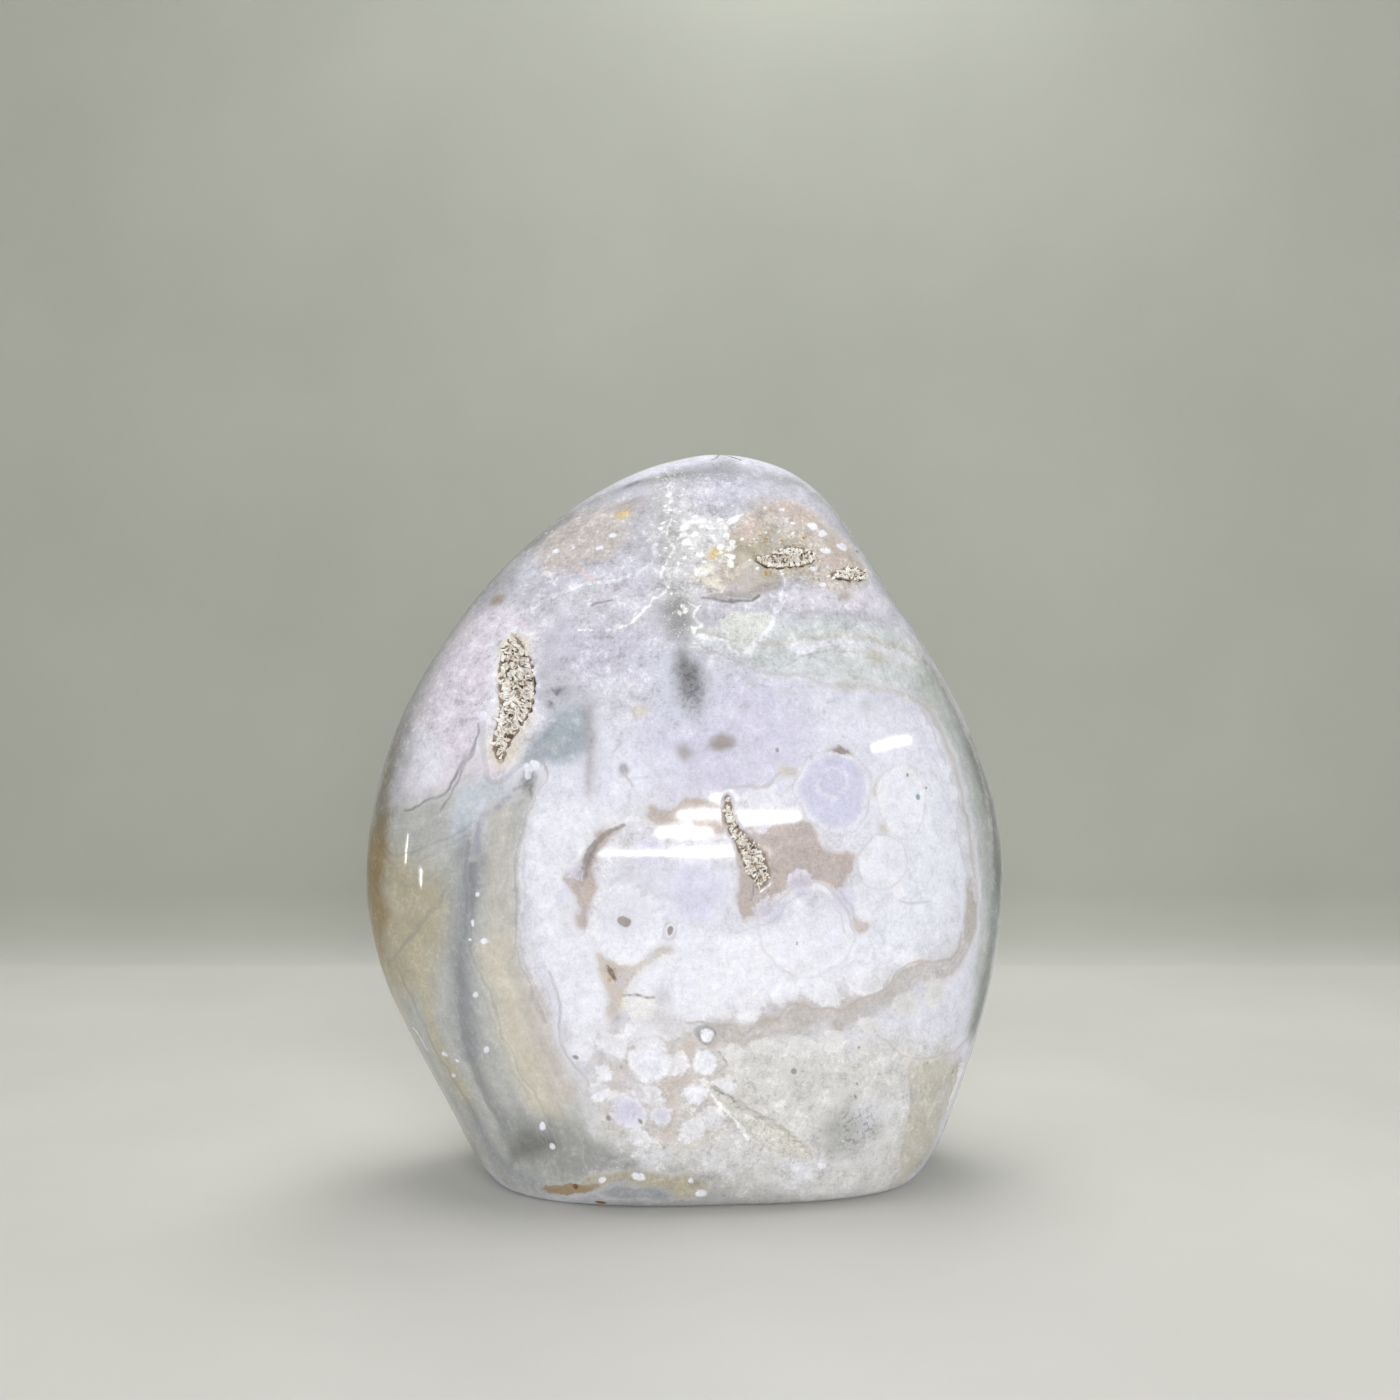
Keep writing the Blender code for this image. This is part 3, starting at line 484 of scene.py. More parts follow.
# Dots, eyes and flecks.
FRONT_SPOTS = (
    veil("brown_grey", (722, 742, 11), opacity=0.9),
    veil("brown_grey", (688, 753, 9), opacity=0.7),
    veil("brown_grey", (742, 710, 7), opacity=0.3),
    veil("brown_grey", (661, 1002, 10), opacity=0.5),
    veil("band_grey", (675, 1025, 14, 12), (700, 1032, 14, 10), (727, 1030, 15, 13), (770, 1014, 14, 11),
        (800, 1012, 16, 12), (845, 1006, 16, 10), (880, 992, 16, 9), (650, 1022, 12, 8), opacity=0.75),
    veil("grey", (568, 1033, 5, 9), (845, 690, 7), (867, 706, 6), (750, 683, 8), (785, 690, 6),
        opacity=0.4),
    veil("grey", (834, 783, 9), opacity=0.35),
    veil("smoke", (527, 784, 5, 8), (626, 765, 3), (618, 1020, 4), opacity=0.7),
    veil("smoke", (563, 690, 5), (553, 706, 4), (925, 660, 5), opacity=0.8),
    veil("ochre", (715, 552, 8), (625, 512, 7), opacity=0.9),
    veil("brown", (628, 503, 12, 4), opacity=0.5),
    veil("dark_grey", (634, 483, 10, 6), opacity=0.8),
    veil("tan", (845, 595, 6), (498, 598, 8, 7), opacity=0.6),
    veil("olive", (735, 545, 11, 14), (875, 655, 10), (928, 705, 6), opacity=0.45),
    veil("pale_core", (790, 850, 12), (806, 838, 9), (770, 846, 8), opacity=0.6),
    veil("grey_lilac", (623, 921, 13), (632, 870, 10), (645, 895, 9), opacity=0.6),
    dots("eye", (623, 921, 5.5), opacity=0.85),
    dots("grey_lilac", (632, 870, 4.5), (645, 895, 4), (965, 885, 3.5), (771, 1011, 5), (763, 1012, 3.5),
        opacity=0.75),
    dots("brown_grey", (669, 933, 3.5), (841, 747, 4)),
    dots("teal_spot", (918, 797, 3.5)),
    dots("white", (704, 1033, 6), (531, 770, 5.5), (549, 1145, 3)),
    dots("white", (475, 895, 2.6), (473, 921, 2), (470, 937, 1.6), (485, 939, 4), (474, 995, 3),
        (445, 1053, 3), (456, 1058, 2), (451, 1073, 3), (486, 1050, 3), (542, 1127, 3)),
    dots("white", (826, 550, 6, 4), (843, 547, 7, 5), (817, 567, 5, 4), (826, 583, 5, 3.5), (813, 526, 5),
        (823, 533, 5), (788, 520, 2), (795, 523, 2.5), (781, 510, 2.5), (766, 511, 2), (743, 539, 2),
        (768, 534, 2.5)),
    dots("white", (612, 535, 5, 4), (557, 551, 5, 4), (598, 548, 3), (947, 770, 4, 6), (953, 792, 5, 7)),
    dots("white", (602, 1183, 5, 4), (640, 1177, 6, 5), (693, 1179, 3.5), (702, 1192, 4), (822, 1165, 4),
        (843, 1141, 2)),
    dots("rust", (602, 1203, 5, 3), (573, 1187, 3)),
    dots("brown_grey", (795, 1072, 3.5), (856, 1085, 1.6), (855, 1098, 1.6), (862, 1050, 1.8),
        (573, 1057, 2.5), (613, 1117, 2.4), (640, 1122, 2.2), (777, 752, 1.8), (905, 775, 1.8),
        (925, 785, 1.6), (796, 942, 1.8)),
    dots("gold", (608, 970, 2.5), (611, 976, 2.5), (607, 981, 2)),
    # Partly painted glints: white sparkle strewn on the crest.
    sprinkle("spark_white", 3, 40, 1.0, 2.6, (655, 460), (690, 455), (700, 640), (655, 620)),
    sprinkle("spark_white", 4, 46, 1.2, 4.2, (682, 518), (740, 516), (735, 562), (688, 580)),
    sprinkle("gold", 5, 12, 1.2, 2.4, (752, 535), (822, 530), (826, 574), (752, 574)),
    sprinkle("spark_white", 6, 14, 1.0, 2.2, (748, 530), (826, 530), (860, 585), (748, 575)),
    sprinkle("brown", 7, 8, 1.0, 2.0, (750, 535), (860, 550), (866, 580), (750, 575), opacity=0.8),
    sprinkle("white", 8, 9, 1.2, 2.6, (545, 520), (635, 500), (625, 555), (545, 568), opacity=0.7),
    sprinkle("line_grey", 9, 22, 1.0, 3.0, (700, 600), (930, 640), (900, 740), (700, 740), opacity=0.7),
    sprinkle("brown_grey", 10, 16, 0.9, 2.4, (620, 1050), (930, 1060), (900, 1170), (620, 1170),
        opacity=0.6),
)

# Broken or unpolished places on the front: how rough, how soft the edge is, and the outline.
BROKEN = (
    (0.75, 8, ((645, 470), (690, 455), (745, 456), (735, 480), (700, 510), (742, 515), (738, 545),
        (722, 560), (722, 592), (690, 592), (690, 640), (655, 640), (668, 590), (672, 540), (660, 500))),
    (0.8, 3, ((692, 575), (700, 562), (715, 560), (722, 568), (718, 590), (705, 592))),
    (0.45, 3, ((725, 612), (775, 610), (766, 630), (741, 657), (726, 640))),
    (0.7, 3, ((700, 1080), (722, 1098), (760, 1118), (792, 1130), (812, 1150), (806, 1163), (765, 1152),
        (735, 1125))),
    (0.8, 3, ((940, 1075), (962, 1060), (964, 1085), (948, 1118))),
    (0.6, 4, ((755, 520), (800, 515), (845, 560), (868, 580), (840, 592), (780, 580), (750, 560))),
    (0.5, 3, ((600, 960), (616, 960), (616, 985), (604, 985))),
)

# Clouds of dark grains, likewise; the entry along the gouge's crack is painted shadow.
SOOT_AND_SHADE = (
    (0.85, 14, ((680, 655), (692, 662), (704, 682), (706, 704), (694, 716), (680, 702))),
    (0.5, 10, ((560, 672), (574, 690), (560, 714), (546, 706), (552, 684))),
    (0.35, 16, ((552, 615), (566, 615), (566, 690), (552, 690))),
    (0.5, 12, ((655, 600), (690, 596), (694, 636), (664, 642))),
    (0.55, 16, ((826, 1106), (878, 1104), (886, 1145), (836, 1162))),
    (0.4, 10, ((583, 700), (596, 700), (596, 770), (586, 780))),
    (0.4, 8, ((520, 778), (534, 776), (532, 794), (520, 796))),
    (0.35, 10, ((745, 540), (790, 535), (800, 570), (740, 590))),
    (0.3, 10, ((800, 1060), (790, 1080), (782, 1070))),
    (0.5, 8, ((705, 1190), (735, 1188), (735, 1200), (705, 1202))),
    (0.4, 10, ((515, 1134), (548, 1134), (556, 1150), (520, 1156))),
    (0.5, 8, ((662, 458), (745, 452), (745, 466), (664, 470))),
    (0.4, 8, ((622, 478), (646, 476), (646, 490), (622, 492))),
    (0.45, 4, ((578, 845), (592, 840), (590, 880), (578, 884))),
    # Painted shadow along the gouge's crack.
    (0.7, 3, ((708, 1085), (728, 1094), (748, 1108), (744, 1115), (724, 1104), (710, 1093))),
    (0.5, 3, ((780, 1150), (806, 1156), (808, 1163), (784, 1158))),
    (0.4, 6, ((600, 960), (614, 960), (618, 984), (606, 986))),
)

# Where the body is speckled, and how strongly.
GRIT = (
    (1.0, 60, ((380, 760), (400, 620), (500, 500), (640, 430), (820, 430), (930, 600), (940, 660),
        (880, 690), (760, 690), (700, 740), (600, 730), (500, 760))),
    (0.8, 40, ((600, 1030), (700, 1040), (900, 1020), (960, 1040), (900, 1200), (560, 1200), (600, 1110))),
    (0.7, 16, ((575, 850), (600, 820), (740, 790), (850, 820), (860, 900), (760, 925), (740, 860),
        (620, 870), (600, 930), (575, 920))),
    (0.6, 10, ((690, 1020), (800, 1000), (960, 940), (975, 960), (900, 1000), (700, 1060))),
)

# Translucent fields, where the white body's clouds and cells are faint.
CLEAR = (
    (1.0, 12, ((362, 812), (440, 792), (478, 730), (520, 770), (542, 760), (530, 815), (519, 860),
        (520, 930), (540, 985), (560, 1060), (585, 1105), (600, 1160), (570, 1200), (490, 1195),
        (430, 1100), (388, 1000), (362, 930))),
    (0.8, 10, ((690, 620), (870, 622), (925, 630), (945, 680), (900, 690), (770, 672), (690, 648))),
    (0.8, 10, ((548, 722), (580, 702), (592, 712), (580, 755), (545, 765))),
    (0.9, 12, ((905, 640), (935, 640), (1000, 750), (1014, 860), (1010, 980), (985, 1040), (965, 1040),
        (978, 930), (972, 850), (950, 770), (915, 690))),
)

# Lines that fine bands follow in the clear fields.
BAND_GUIDES = (
    ((543, 770), (532, 800), (522, 830), (514, 860), (513, 900), (516, 940), (530, 985), (546, 1030),
        (572, 1080), (600, 1130), (610, 1190)),
    ((400, 812), (440, 795), (465, 765), (480, 725)),
    ((692, 618), (745, 640), (790, 614), (850, 616), (900, 627), (930, 700), (960, 780), (972, 860),
        (977, 930), (965, 1000)),
)

# The back, in pixels of a like view from behind, where the stone's left side is on the right.
BACK_TONES = (
    tone("pale_pink", 26, (420, 640), (520, 540), (620, 560), (600, 700), (480, 780), (400, 760)),
    tone("lilac", 30, (560, 640), (700, 600), (770, 700), (700, 810), (580, 780)),
    tone("white", 30, (480, 820), (640, 800), (760, 880), (700, 1000), (520, 980)),
    tone("green_grey", 16, (400, 800), (430, 680), (520, 560), (600, 510), (640, 540), (540, 630),
        (470, 740), (440, 850)),
    tone("grey_white", 24, (460, 1040), (700, 1060), (840, 1100), (800, 1190), (480, 1190)),
    wash("pale_grey", 42, 20, (880, 540), (940, 680), (962, 850), (940, 1000), (880, 1140)),
    wash("cool_grey", 11, 12, (880, 600), (915, 720), (925, 860), (900, 1000), (850, 1120)),
    wash("beige_band", 13, 12, (905, 590), (945, 720), (955, 860), (930, 1000), (885, 1110)),
    wash("blue_grey", 10, 12, (930, 600), (974, 740), (984, 860), (962, 1000), (920, 1110)),
    wash("tan", 12, 14, (975, 690), (1002, 800), (1010, 900), (990, 1000), opacity=0.8),
    wash("white", 6, 7, (858, 560), (904, 690), (916, 860), (892, 1000), (842, 1110)),
    wash("pale_tan", 5, 6, (842, 560), (886, 690), (898, 860), (874, 1000), (826, 1110), opacity=0.8),
    wash("cool_grey", 4, 6, (866, 560), (920, 690), (936, 860), (910, 1000), (858, 1110), opacity=0.8),
    tone("smoke", 16, (640, 900), (664, 904), (680, 940), (662, 972), (640, 950), opacity=0.7),
    tone("sandy", 16, (600, 470), (700, 455), (780, 500), (740, 560), (640, 540), opacity=0.7),
    wash("olive", 12, 8, (520, 1192), (620, 1186), (760, 1192), opacity=0.8),
)
BACK_BAND_GUIDES = (
    ((850, 560), (893, 680), (905, 860), (880, 1000), (830, 1110)),
    ((400, 820), (440, 690), (530, 570), (620, 520)),
)
BACK_CLEAR = (
    (1.0, 14, ((850, 540), (900, 540), (960, 680), (1012, 850), (1000, 1000), (900, 1150), (820, 1130),
        (868, 1000), (893, 860), (880, 690))),
    (0.8, 12, ((400, 800), (430, 680), (520, 560), (600, 510), (640, 540), (470, 740), (440, 850))),
)
BACK_SOOT = (
    (0.8, 14, ((642, 902), (662, 906), (678, 940), (660, 970), (642, 948))),
    (0.3, 16, ((560, 1100), (620, 1090), (640, 1130), (590, 1150))),
    (0.35, 14, ((690, 470), (740, 480), (730, 530), (690, 520))),
)
BACK_GRIT = (
    (0.8, 60, ((430, 700), (560, 480), (700, 430), (860, 500), (900, 640), (700, 720))),
    (0.7, 40, ((440, 1010), (800, 1010), (800, 1200), (460, 1200))),
)
# The left side, in pixels of a like view from the left, where the front is on the right.
LEFT_TONES = (
    # Partly painted shade: the upper part greyer, as on the front.
    tone("upper_grey", 40, (520, 760), (560, 560), (660, 440), (700, 560), (700, 760)),
    tone("pale_grey", 30, (500, 760), (620, 700), (700, 700), (700, 1000), (690, 1200), (540, 1200)),
    wash("tan", 26, 34, (690, 720), (694, 800), (698, 880), (692, 980), opacity=0.9),
    wash("olive", 14, 24, (640, 640), (646, 760), (646, 900), (636, 1040), (620, 1160), opacity=0.9),
    # Painted shade along the rim, carried round from the front.
    wash("rim_shade", 8, 18, (606, 560), (606, 700), (602, 860), (598, 1010), (590, 1150), opacity=0.6),
    wash("warm_grey", 12, 16, (576, 600), (572, 760), (568, 900), (566, 1040), (560, 1160)),
    wash("cool_grey", 8, 14, (546, 640), (538, 780), (534, 920), (538, 1060)),
)
LEFT_CLEAR = (
    (1.0, 30, ((510, 640), (640, 600), (690, 700), (700, 860), (690, 1180), (520, 1180))),
)
LEFT_BAND_GUIDES = (
    ((606, 560), (606, 700), (602, 860), (598, 1010), (590, 1150)),
)
# The right side, likewise, where the front is on the left.
RIGHT_TONES = (
    # Partly painted shade: the upper part greyer, as on the front.
    tone("upper_grey", 40, (710, 720), (710, 560), (740, 440), (830, 560), (880, 720)),
    wash("rim_grey", 34, 40, (740, 560), (744, 720), (746, 860), (744, 1000), (736, 1120)),
    # Partly painted shade: the right edge's dark teal, as on the front.
    wash("teal", 10, 24, (716, 640), (716, 780), (716, 900), (714, 1020), (710, 1120), opacity=0.8),
    wash("warm_grey", 10, 14, (760, 600), (766, 740), (768, 880), (764, 1010), (750, 1120)),
    wash("white", 7, 12, (786, 600), (794, 740), (796, 880), (790, 1010), (774, 1120), opacity=0.8),
    wash("cool_grey", 6, 12, (808, 620), (818, 740), (820, 880), (812, 1010), (794, 1100), opacity=0.8),
)
RIGHT_CLEAR = (
    (0.9, 28, ((714, 600), (800, 580), (830, 860), (800, 1120), (714, 1120), (712, 860))),
)
RIGHT_BAND_GUIDES = (
    ((740, 560), (744, 720), (746, 860), (744, 1000), (736, 1120)),
)

# Where matrix and lobes run across the back: the path, how many fields, and their radii in pixels.
BACK_VEINS = (
    (((500, 690), (570, 800), (680, 850), (790, 800), (830, 700)), 16, (14, 30)),
    (((470, 1020), (580, 1050), (700, 1015), (800, 1030)), 14, (12, 22)),
    (((620, 520), (700, 545), (790, 560), (840, 640)), 9, (14, 26)),
)
BACK_SEED = 5
OUTLINE_STEPS = 9
DOTS_BEHIND = 46
# Past this pixel the back's bands lie, where no lobe grows.
LAST_LOBE = 800


def wobbly(rng, across, down, radius):
    """A closed, uneven outline round a middle."""
    turns = [step * math.tau / OUTLINE_STEPS for step in range(OUTLINE_STEPS)]
    radii = [radius * rng.uniform(0.6, 1.35) for _ in turns]
    return [(across + r * math.cos(turn), down + r * math.sin(turn)) for r, turn in zip(radii, turns)]


def between(knots, position):
    """Points on the smooth curve through knots; position counts knots from the second on."""
    index = np.clip(position.astype(int), 0, len(knots) - 4)
    t = (position - index)[:, None]
    a, b, c, d = (knots[index + step] for step in range(4))
    return 0.5 * (2 * b + (c - a) * t + (2 * a - 5 * b + 4 * c - d) * t**2 + (3 * b - a - 3 * c + d) * t**3)


def back_marks():
    """The back's pattern: laid bands, and veins of matrix with lobes, eyes and dots about them."""
    rng = random.Random(BACK_SEED)
    marks = list(BACK_TONES)
    for path, count, radii in BACK_VEINS:
        knots = np.array((path[0], *path, path[-1]), float)
        for across, down in between(knots, np.linspace(0, len(path) - 1.001, count)):
            shade = rng.choice(("pink_beige", "pink_brown", "beige"))
            middle = (across + rng.uniform(-8, 8), down + rng.uniform(-8, 8))
            outline = wobbly(rng, *middle, rng.uniform(*radii))
            marks.append(area(shade, *outline, opacity=rng.uniform(0.6, 1.0)))
            for _ in range(3):
                turn, away = rng.uniform(0, math.tau), radii[1] * rng.uniform(1.0, 2.4)
                x, y = across + away * math.cos(turn), down + away * math.sin(turn)
                radius = rng.uniform(10, 34)
                shade = rng.choice(("white", "white", "lavender", "lilac"))
                if x > LAST_LOBE:
                    continue
                outline = wobbly(rng, x, y, radius)
                marks.append(area(shade, *outline, layer="lobe", opacity=rng.uniform(0.3, 0.6)))
                if radius > 20:
                    marks.append(veil("brown_grey", (x, y, rng.uniform(3, 8)), opacity=0.5))
    for _ in range(DOTS_BEHIND):
        x, y = rng.uniform(430, 940), rng.uniform(560, 1170)
        shade = rng.choice(("white", "brown_grey", "grey"))
        marks.append(veil(shade, (x, y, rng.uniform(1.5, 5)), opacity=0.7))
    return marks


# For each view, by how far it is turned: its marks, its painted places and the guides of its bands.
FRONT = (
    FRONT_TONES + FRONT_FIELDS + FRONT_LOBES + FRONT_LINES + FRONT_SPOTS,
    {"broken": BROKEN, "soot": SOOT_AND_SHADE, "clear": CLEAR, "grit": GRIT},
    BAND_GUIDES,
)
OTHER_SIDES = {
    180: (back_marks(), {"clear": BACK_CLEAR, "soot": BACK_SOOT, "grit": BACK_GRIT}, BACK_BAND_GUIDES),
    -90: (LEFT_TONES, {"clear": LEFT_CLEAR}, LEFT_BAND_GUIDES),
    90: (RIGHT_TONES, {"clear": RIGHT_CLEAR}, RIGHT_BAND_GUIDES),
}


def tint(name, description, *shade):
    return FloatVectorProperty(
        name=name, description=description, default=linear(*shade), subtype="COLOR", size=3, min=0, max=1
    )


def number(name, description, default, **options):
    return FloatProperty(name=name, description=description, default=default, min=0.0, **options)


def length(name, description, millimetres):
    return number(name, description, millimetres * MM, subtype="DISTANCE", unit="LENGTH", precision=5)


def share(name, description, default):
    return number(name, description, default, max=1.0, subtype="FACTOR")


def power(name, description, watts):
    return number(name, description, watts, subtype="POWER")


class AgateColours(bpy.types.PropertyGroup):
    """The stone's colours."""

    ground: tint("Ground", "Opaque lilac-white body of the stone", 227, 227, 240)
    lilac: tint("Lilac", "Stronger lilac fields", 213, 211, 229)
    lilac_orb: tint("Lilac orb", "The big round cell at the right", 209, 208, 230)
    lavender: tint("Lavender", "Cells with a lavender heart", 210, 208, 233)
    pale_lilac: tint("Pale lilac", "Strip under the upper right field", 220, 216, 226)
    pale_pink: tint("Pale pink", "Lilac-pink field at the upper left", 226, 219, 230)
    grey_lilac: tint("Grey lilac", "Shaded lilac below the crest", 204, 201, 212)
    white: tint("White", "Opaque white lobes and dots", 236, 236, 246)
    grey_white: tint("Grey white", "Speckled body below the lower band", 216, 214, 213)
    green_grey: tint("Green grey", "Translucent band across the shoulder", 207, 211, 214)
    blue_grey: tint("Blue grey", "Translucent mass beside the left druse", 170, 178, 188)
    pale_blue: tint("Pale blue", "Thin blue veil", 198, 204, 213)
    cool_grey: tint("Cool grey", "Chalcedony bands at the left", 160, 162, 166)
    warm_grey: tint("Warm grey", "Smooth band beside the white field", 194, 191, 184)
    beige_band: tint("Beige band", "Cream band at the lower left", 208, 201, 188)
    pale_tan: tint("Pale tan", "Olive-cream field at the left", 190, 183, 162)
    tan: tint("Tan", "Iron-stained rim", 152, 132, 96)
    pale_grey: tint("Pale grey", "Clear ground of the left bands", 186, 187, 185)
    # Partly the stone's own grey and partly painted shade against the light from above.
    upper_grey: tint("Upper grey", "Greyer body of the upper half", 196, 195, 205)
    pure_white: tint("Pure white", "Whiter body of the middle", 234, 236, 245)
    lobe_grey: tint("Lobe grey", "Lavender-grey body of the middle lobes", 213, 213, 230)
    eye: tint("Eye", "Heart of the eye in a lobe", 156, 144, 137)
    low_grey: tint("Low grey", "Grey at the lower left", 152, 154, 152)
    # Painted shade of the rims, where the surface turns away from the light.
    rim_shade: tint("Rim shade", "Clear outer skin of the upper edge", 132, 133, 129)
    band_grey: tint("Band grey", "Scalloped band of the lower half", 190, 184, 180)
    # White of rough crystals, partly painted glints.
    spark_white: tint("Spark white", "Bright rough crystals of the crest", 252, 252, 252)
    olive_grey: tint("Olive grey", "Clear olive field at the left", 180, 172, 150)
    dark_band: tint("Dark band", "Darkest band of the left", 136, 137, 142)
    halo: tint("Halo", "Blue-white edge of the smoky cloud", 222, 230, 240)
    rim_grey: tint("Rim grey", "Clear outer band at the right", 186, 190, 188)
    # Partly painted shade at the right edge, where the surface turns away.
    teal: tint("Teal", "Thin clear skin at the right edge", 132, 139, 135)
    sand: tint("Sand", "Cream patch at the lower right", 198, 194, 182)
    sandy: tint("Sandy", "Matrix of the upper right field", 200, 188, 174)
    grey: tint("Grey", "Grey patches", 176, 176, 175)
    # Dark mineral clouds, and also the painted shadow in the gouge's crack.
    smoke: tint("Smoke", "Dark mineral clouds", 96, 94, 90)
    smoky_lilac: tint("Smoky lilac", "Thin dark band at the left", 160, 160, 174)
    pink_brown: tint("Pink brown", "Matrix between the middle lobes", 190, 178, 174)
    pink_beige: tint("Pink beige", "Lighter matrix", 202, 192, 187)
    beige: tint("Beige", "Grey-beige matrix", 206, 202, 197)
    brown_grey: tint("Brown grey", "Fuzzy dots and gaps", 160, 151, 147)
    brown: tint("Brown", "Brown specks", 138, 118, 100)
    rust: tint("Rust", "Iron dots at the foot", 120, 85, 44)
    gold: tint("Gold", "Gilt grains", 190, 150, 90)
    ochre: tint("Ochre", "Yellow stain", 212, 192, 142)
    olive: tint("Olive", "Olive stain", 182, 174, 148)
    cream: tint("Cream", "Cream flakes", 228, 224, 213)
    druse_wall: tint("Druse wall", "Wall round a druse", 224, 214, 198)
    stone_cream: tint("Stone cream", "Broken face of the gouge", 217, 215, 209)
    flap: tint("Flap", "Bright healed flake", 217, 219, 216)
    pink_fold: tint("Pink fold", "Pink thread", 214, 192, 188)
    pale_fold: tint("Pale fold", "Pale thread", 222, 216, 208)
    pale_core: tint("Pale core", "Pale heart of the middle matrix", 216, 204, 198)
    dark_grey: tint("Dark grey", "Dark seams", 122, 122, 132)
    seam: tint("Seam", "Grey seams of the left bands", 142, 144, 144)
    warm_line: tint("Warm line", "Fine contour of the white field", 186, 179, 180)
    pale_line: tint("Pale line", "Light edge beside a contour", 228, 226, 236)
    line_grey: tint("Grey line", "Outlines of cells", 196, 191, 196)
    line_tan: tint("Tan line", "Outlines of the lower band", 182, 168, 160)
    teal_spot: tint("Teal spot", "Small eye in a cell", 150, 170, 172)


class StoneSizes(bpy.types.PropertyGroup):
    """The stone's fineness and polish."""

    cells: IntProperty(name="Cells", description="Cells along each side of the net", default=42, min=8)
    fine_reach: length("Fine reach", "How far from a line or a spot the net is made finer", 0.55)
    finest_reach: length("Finest reach", "How far from a line the net is finest", 0.25)
    polish: share("Polish", "Roughness of the polished face", 0.07)
    broken: share("Broken", "Roughness of broken faces", 0.55)
    lump: length("Lump height", "Height of the lumps on the rough crest", 0.26)


class DruseSizes(bpy.types.PropertyGroup):
    """The quartz points."""

    point_width: length("Point width", "Width of an ordinary point", 0.46)
    point_length: length("Point length", "Length of an ordinary point", 0.8)
    crowding: number("Crowding", "Points on a square millimetre", 7.0)
    sink: length("Sink", "How far the lining lies inside its hollow's wall", 0.08)
    lining: length("Lining", "Thickness of the lining", 0.2)
    # Partly painted shade: the bed is darker than the points, for the shade between them.
    bed: tint("Bed", "Lining between the points", 170, 150, 134)
    # Partly painted glints: the pale points stand also for sparkle.
    pale: tint("Pale point", "Clear and white points", 255, 254, 250)
    champagne: tint("Champagne point", "Ordinary points", 240, 231, 221)
    # Partly painted shade: the dark points are stains and also shade between points.
    dark: tint("Dark point", "Stained points", 96, 76, 54)


class StageSizes(bpy.types.PropertyGroup):
    """The floor, the wall and the lights."""

    floor: tint("Floor", "Pale floor", 218, 217, 211)
    wall: tint("Wall", "Muted wall", 172, 174, 164)
    wall_distance: length("Wall distance", "From the stone's middle back to the wall", 178.0)
    cove: length("Cove", "Radius of the turn between floor and wall", 16.0)
    daylight: number("Daylight", "Strength of the even light", 0.12)
    key: power("Key", "Power of the soft box in front", 2.75)
    top: power("Top", "Power of the soft box overhead", 2.6)
    back_fill: power("Back fill", "Power of the light behind", 0.35)
    fill: power("Fill", "Power of the light at the left", 0.24)


def settings(name):
    return getattr(bpy.context.scene, "agate_" + name)


def level_at(position):
    """The stone's reach at positions that count LEVELS from the foot up."""
    tip = np.array((HEIGHT, -APEX[0], APEX[0], -APEX[1], APEX[1]))
    levels = np.array(LEVELS)
    past_tip = 2 * tip - levels[-1]
    past_tip[0] = levels[-1][0]
    return between(np.vstack((2 * levels[0] - levels[1], levels, tip, past_tip)), position)


def section_points(level, angle):
    """Points on the sections at the levels: angle 0 is right and 90 degrees is the back."""
    height, left, right, front, back = level.T
    across, along = np.cos(angle), np.sin(angle)
    quarter = np.where(along >= 0, 2, (across >= 0).astype(int))
    blend = np.clip(height / FOOT_BLEND_HEIGHT, 0, 1)
    blend = blend * blend * (3 - 2 * blend)
    foot, body = np.array(FOOT_SQUARENESS)[quarter], np.array(BODY_SQUARENESS)[quarter]
    exponent = 2 / (foot * (1 - blend) + body * blend)
    x = (right - left) / 2 + (left + right) / 2 * np.sign(across) * np.abs(across) ** exponent
    y = (back - front) / 2 + (front + back) / 2 * np.sign(along) * np.abs(along) ** exponent
    return np.column_stack((x, y + TURN * x, height))


def places_on_sphere(directions):
    """The position along LEVELS, the angle and the share inside the foot of unit directions."""
    ring = np.arccos(np.clip(directions[:, 2], -1, 1)) / math.pi
    angle = np.arctan2(directions[:, 1], directions[:, 0])
    foot_edge = 1 - FOOT_SHARE
    position = np.clip(len(LEVELS) * (1 - ring / foot_edge), 0, len(LEVELS))
    return position, angle, np.clip((1 - ring) / FOOT_SHARE, 0, 1)


def stone_points(directions):
    """Where unit directions lie on the stone, in millimetres, before anything is cut in it."""
    position, angle, inset = places_on_sphere(directions)
    points = section_points(level_at(position), angle)
    points[:, :2] *= inset[:, None]
    for facing, depth, softness in GROUND_FLATS:
        normal = np.array(facing) / np.linalg.norm(facing)
        above = points @ normal - ((points @ normal).max() - depth)
        push = np.where(above >= softness, above, (above + softness) ** 2 / (4 * softness))
        push[(above <= -softness) | (points[:, 2] <= 0)] = 0
        points -= push[:, None] * normal
    low, high = points.min(0), points.max(0)
    box_low, box_high = np.array(STONE_LOW) / MM, np.array(STONE_HIGH) / MM
    return box_low + (points - low) / (high - low) * (box_high - box_low)


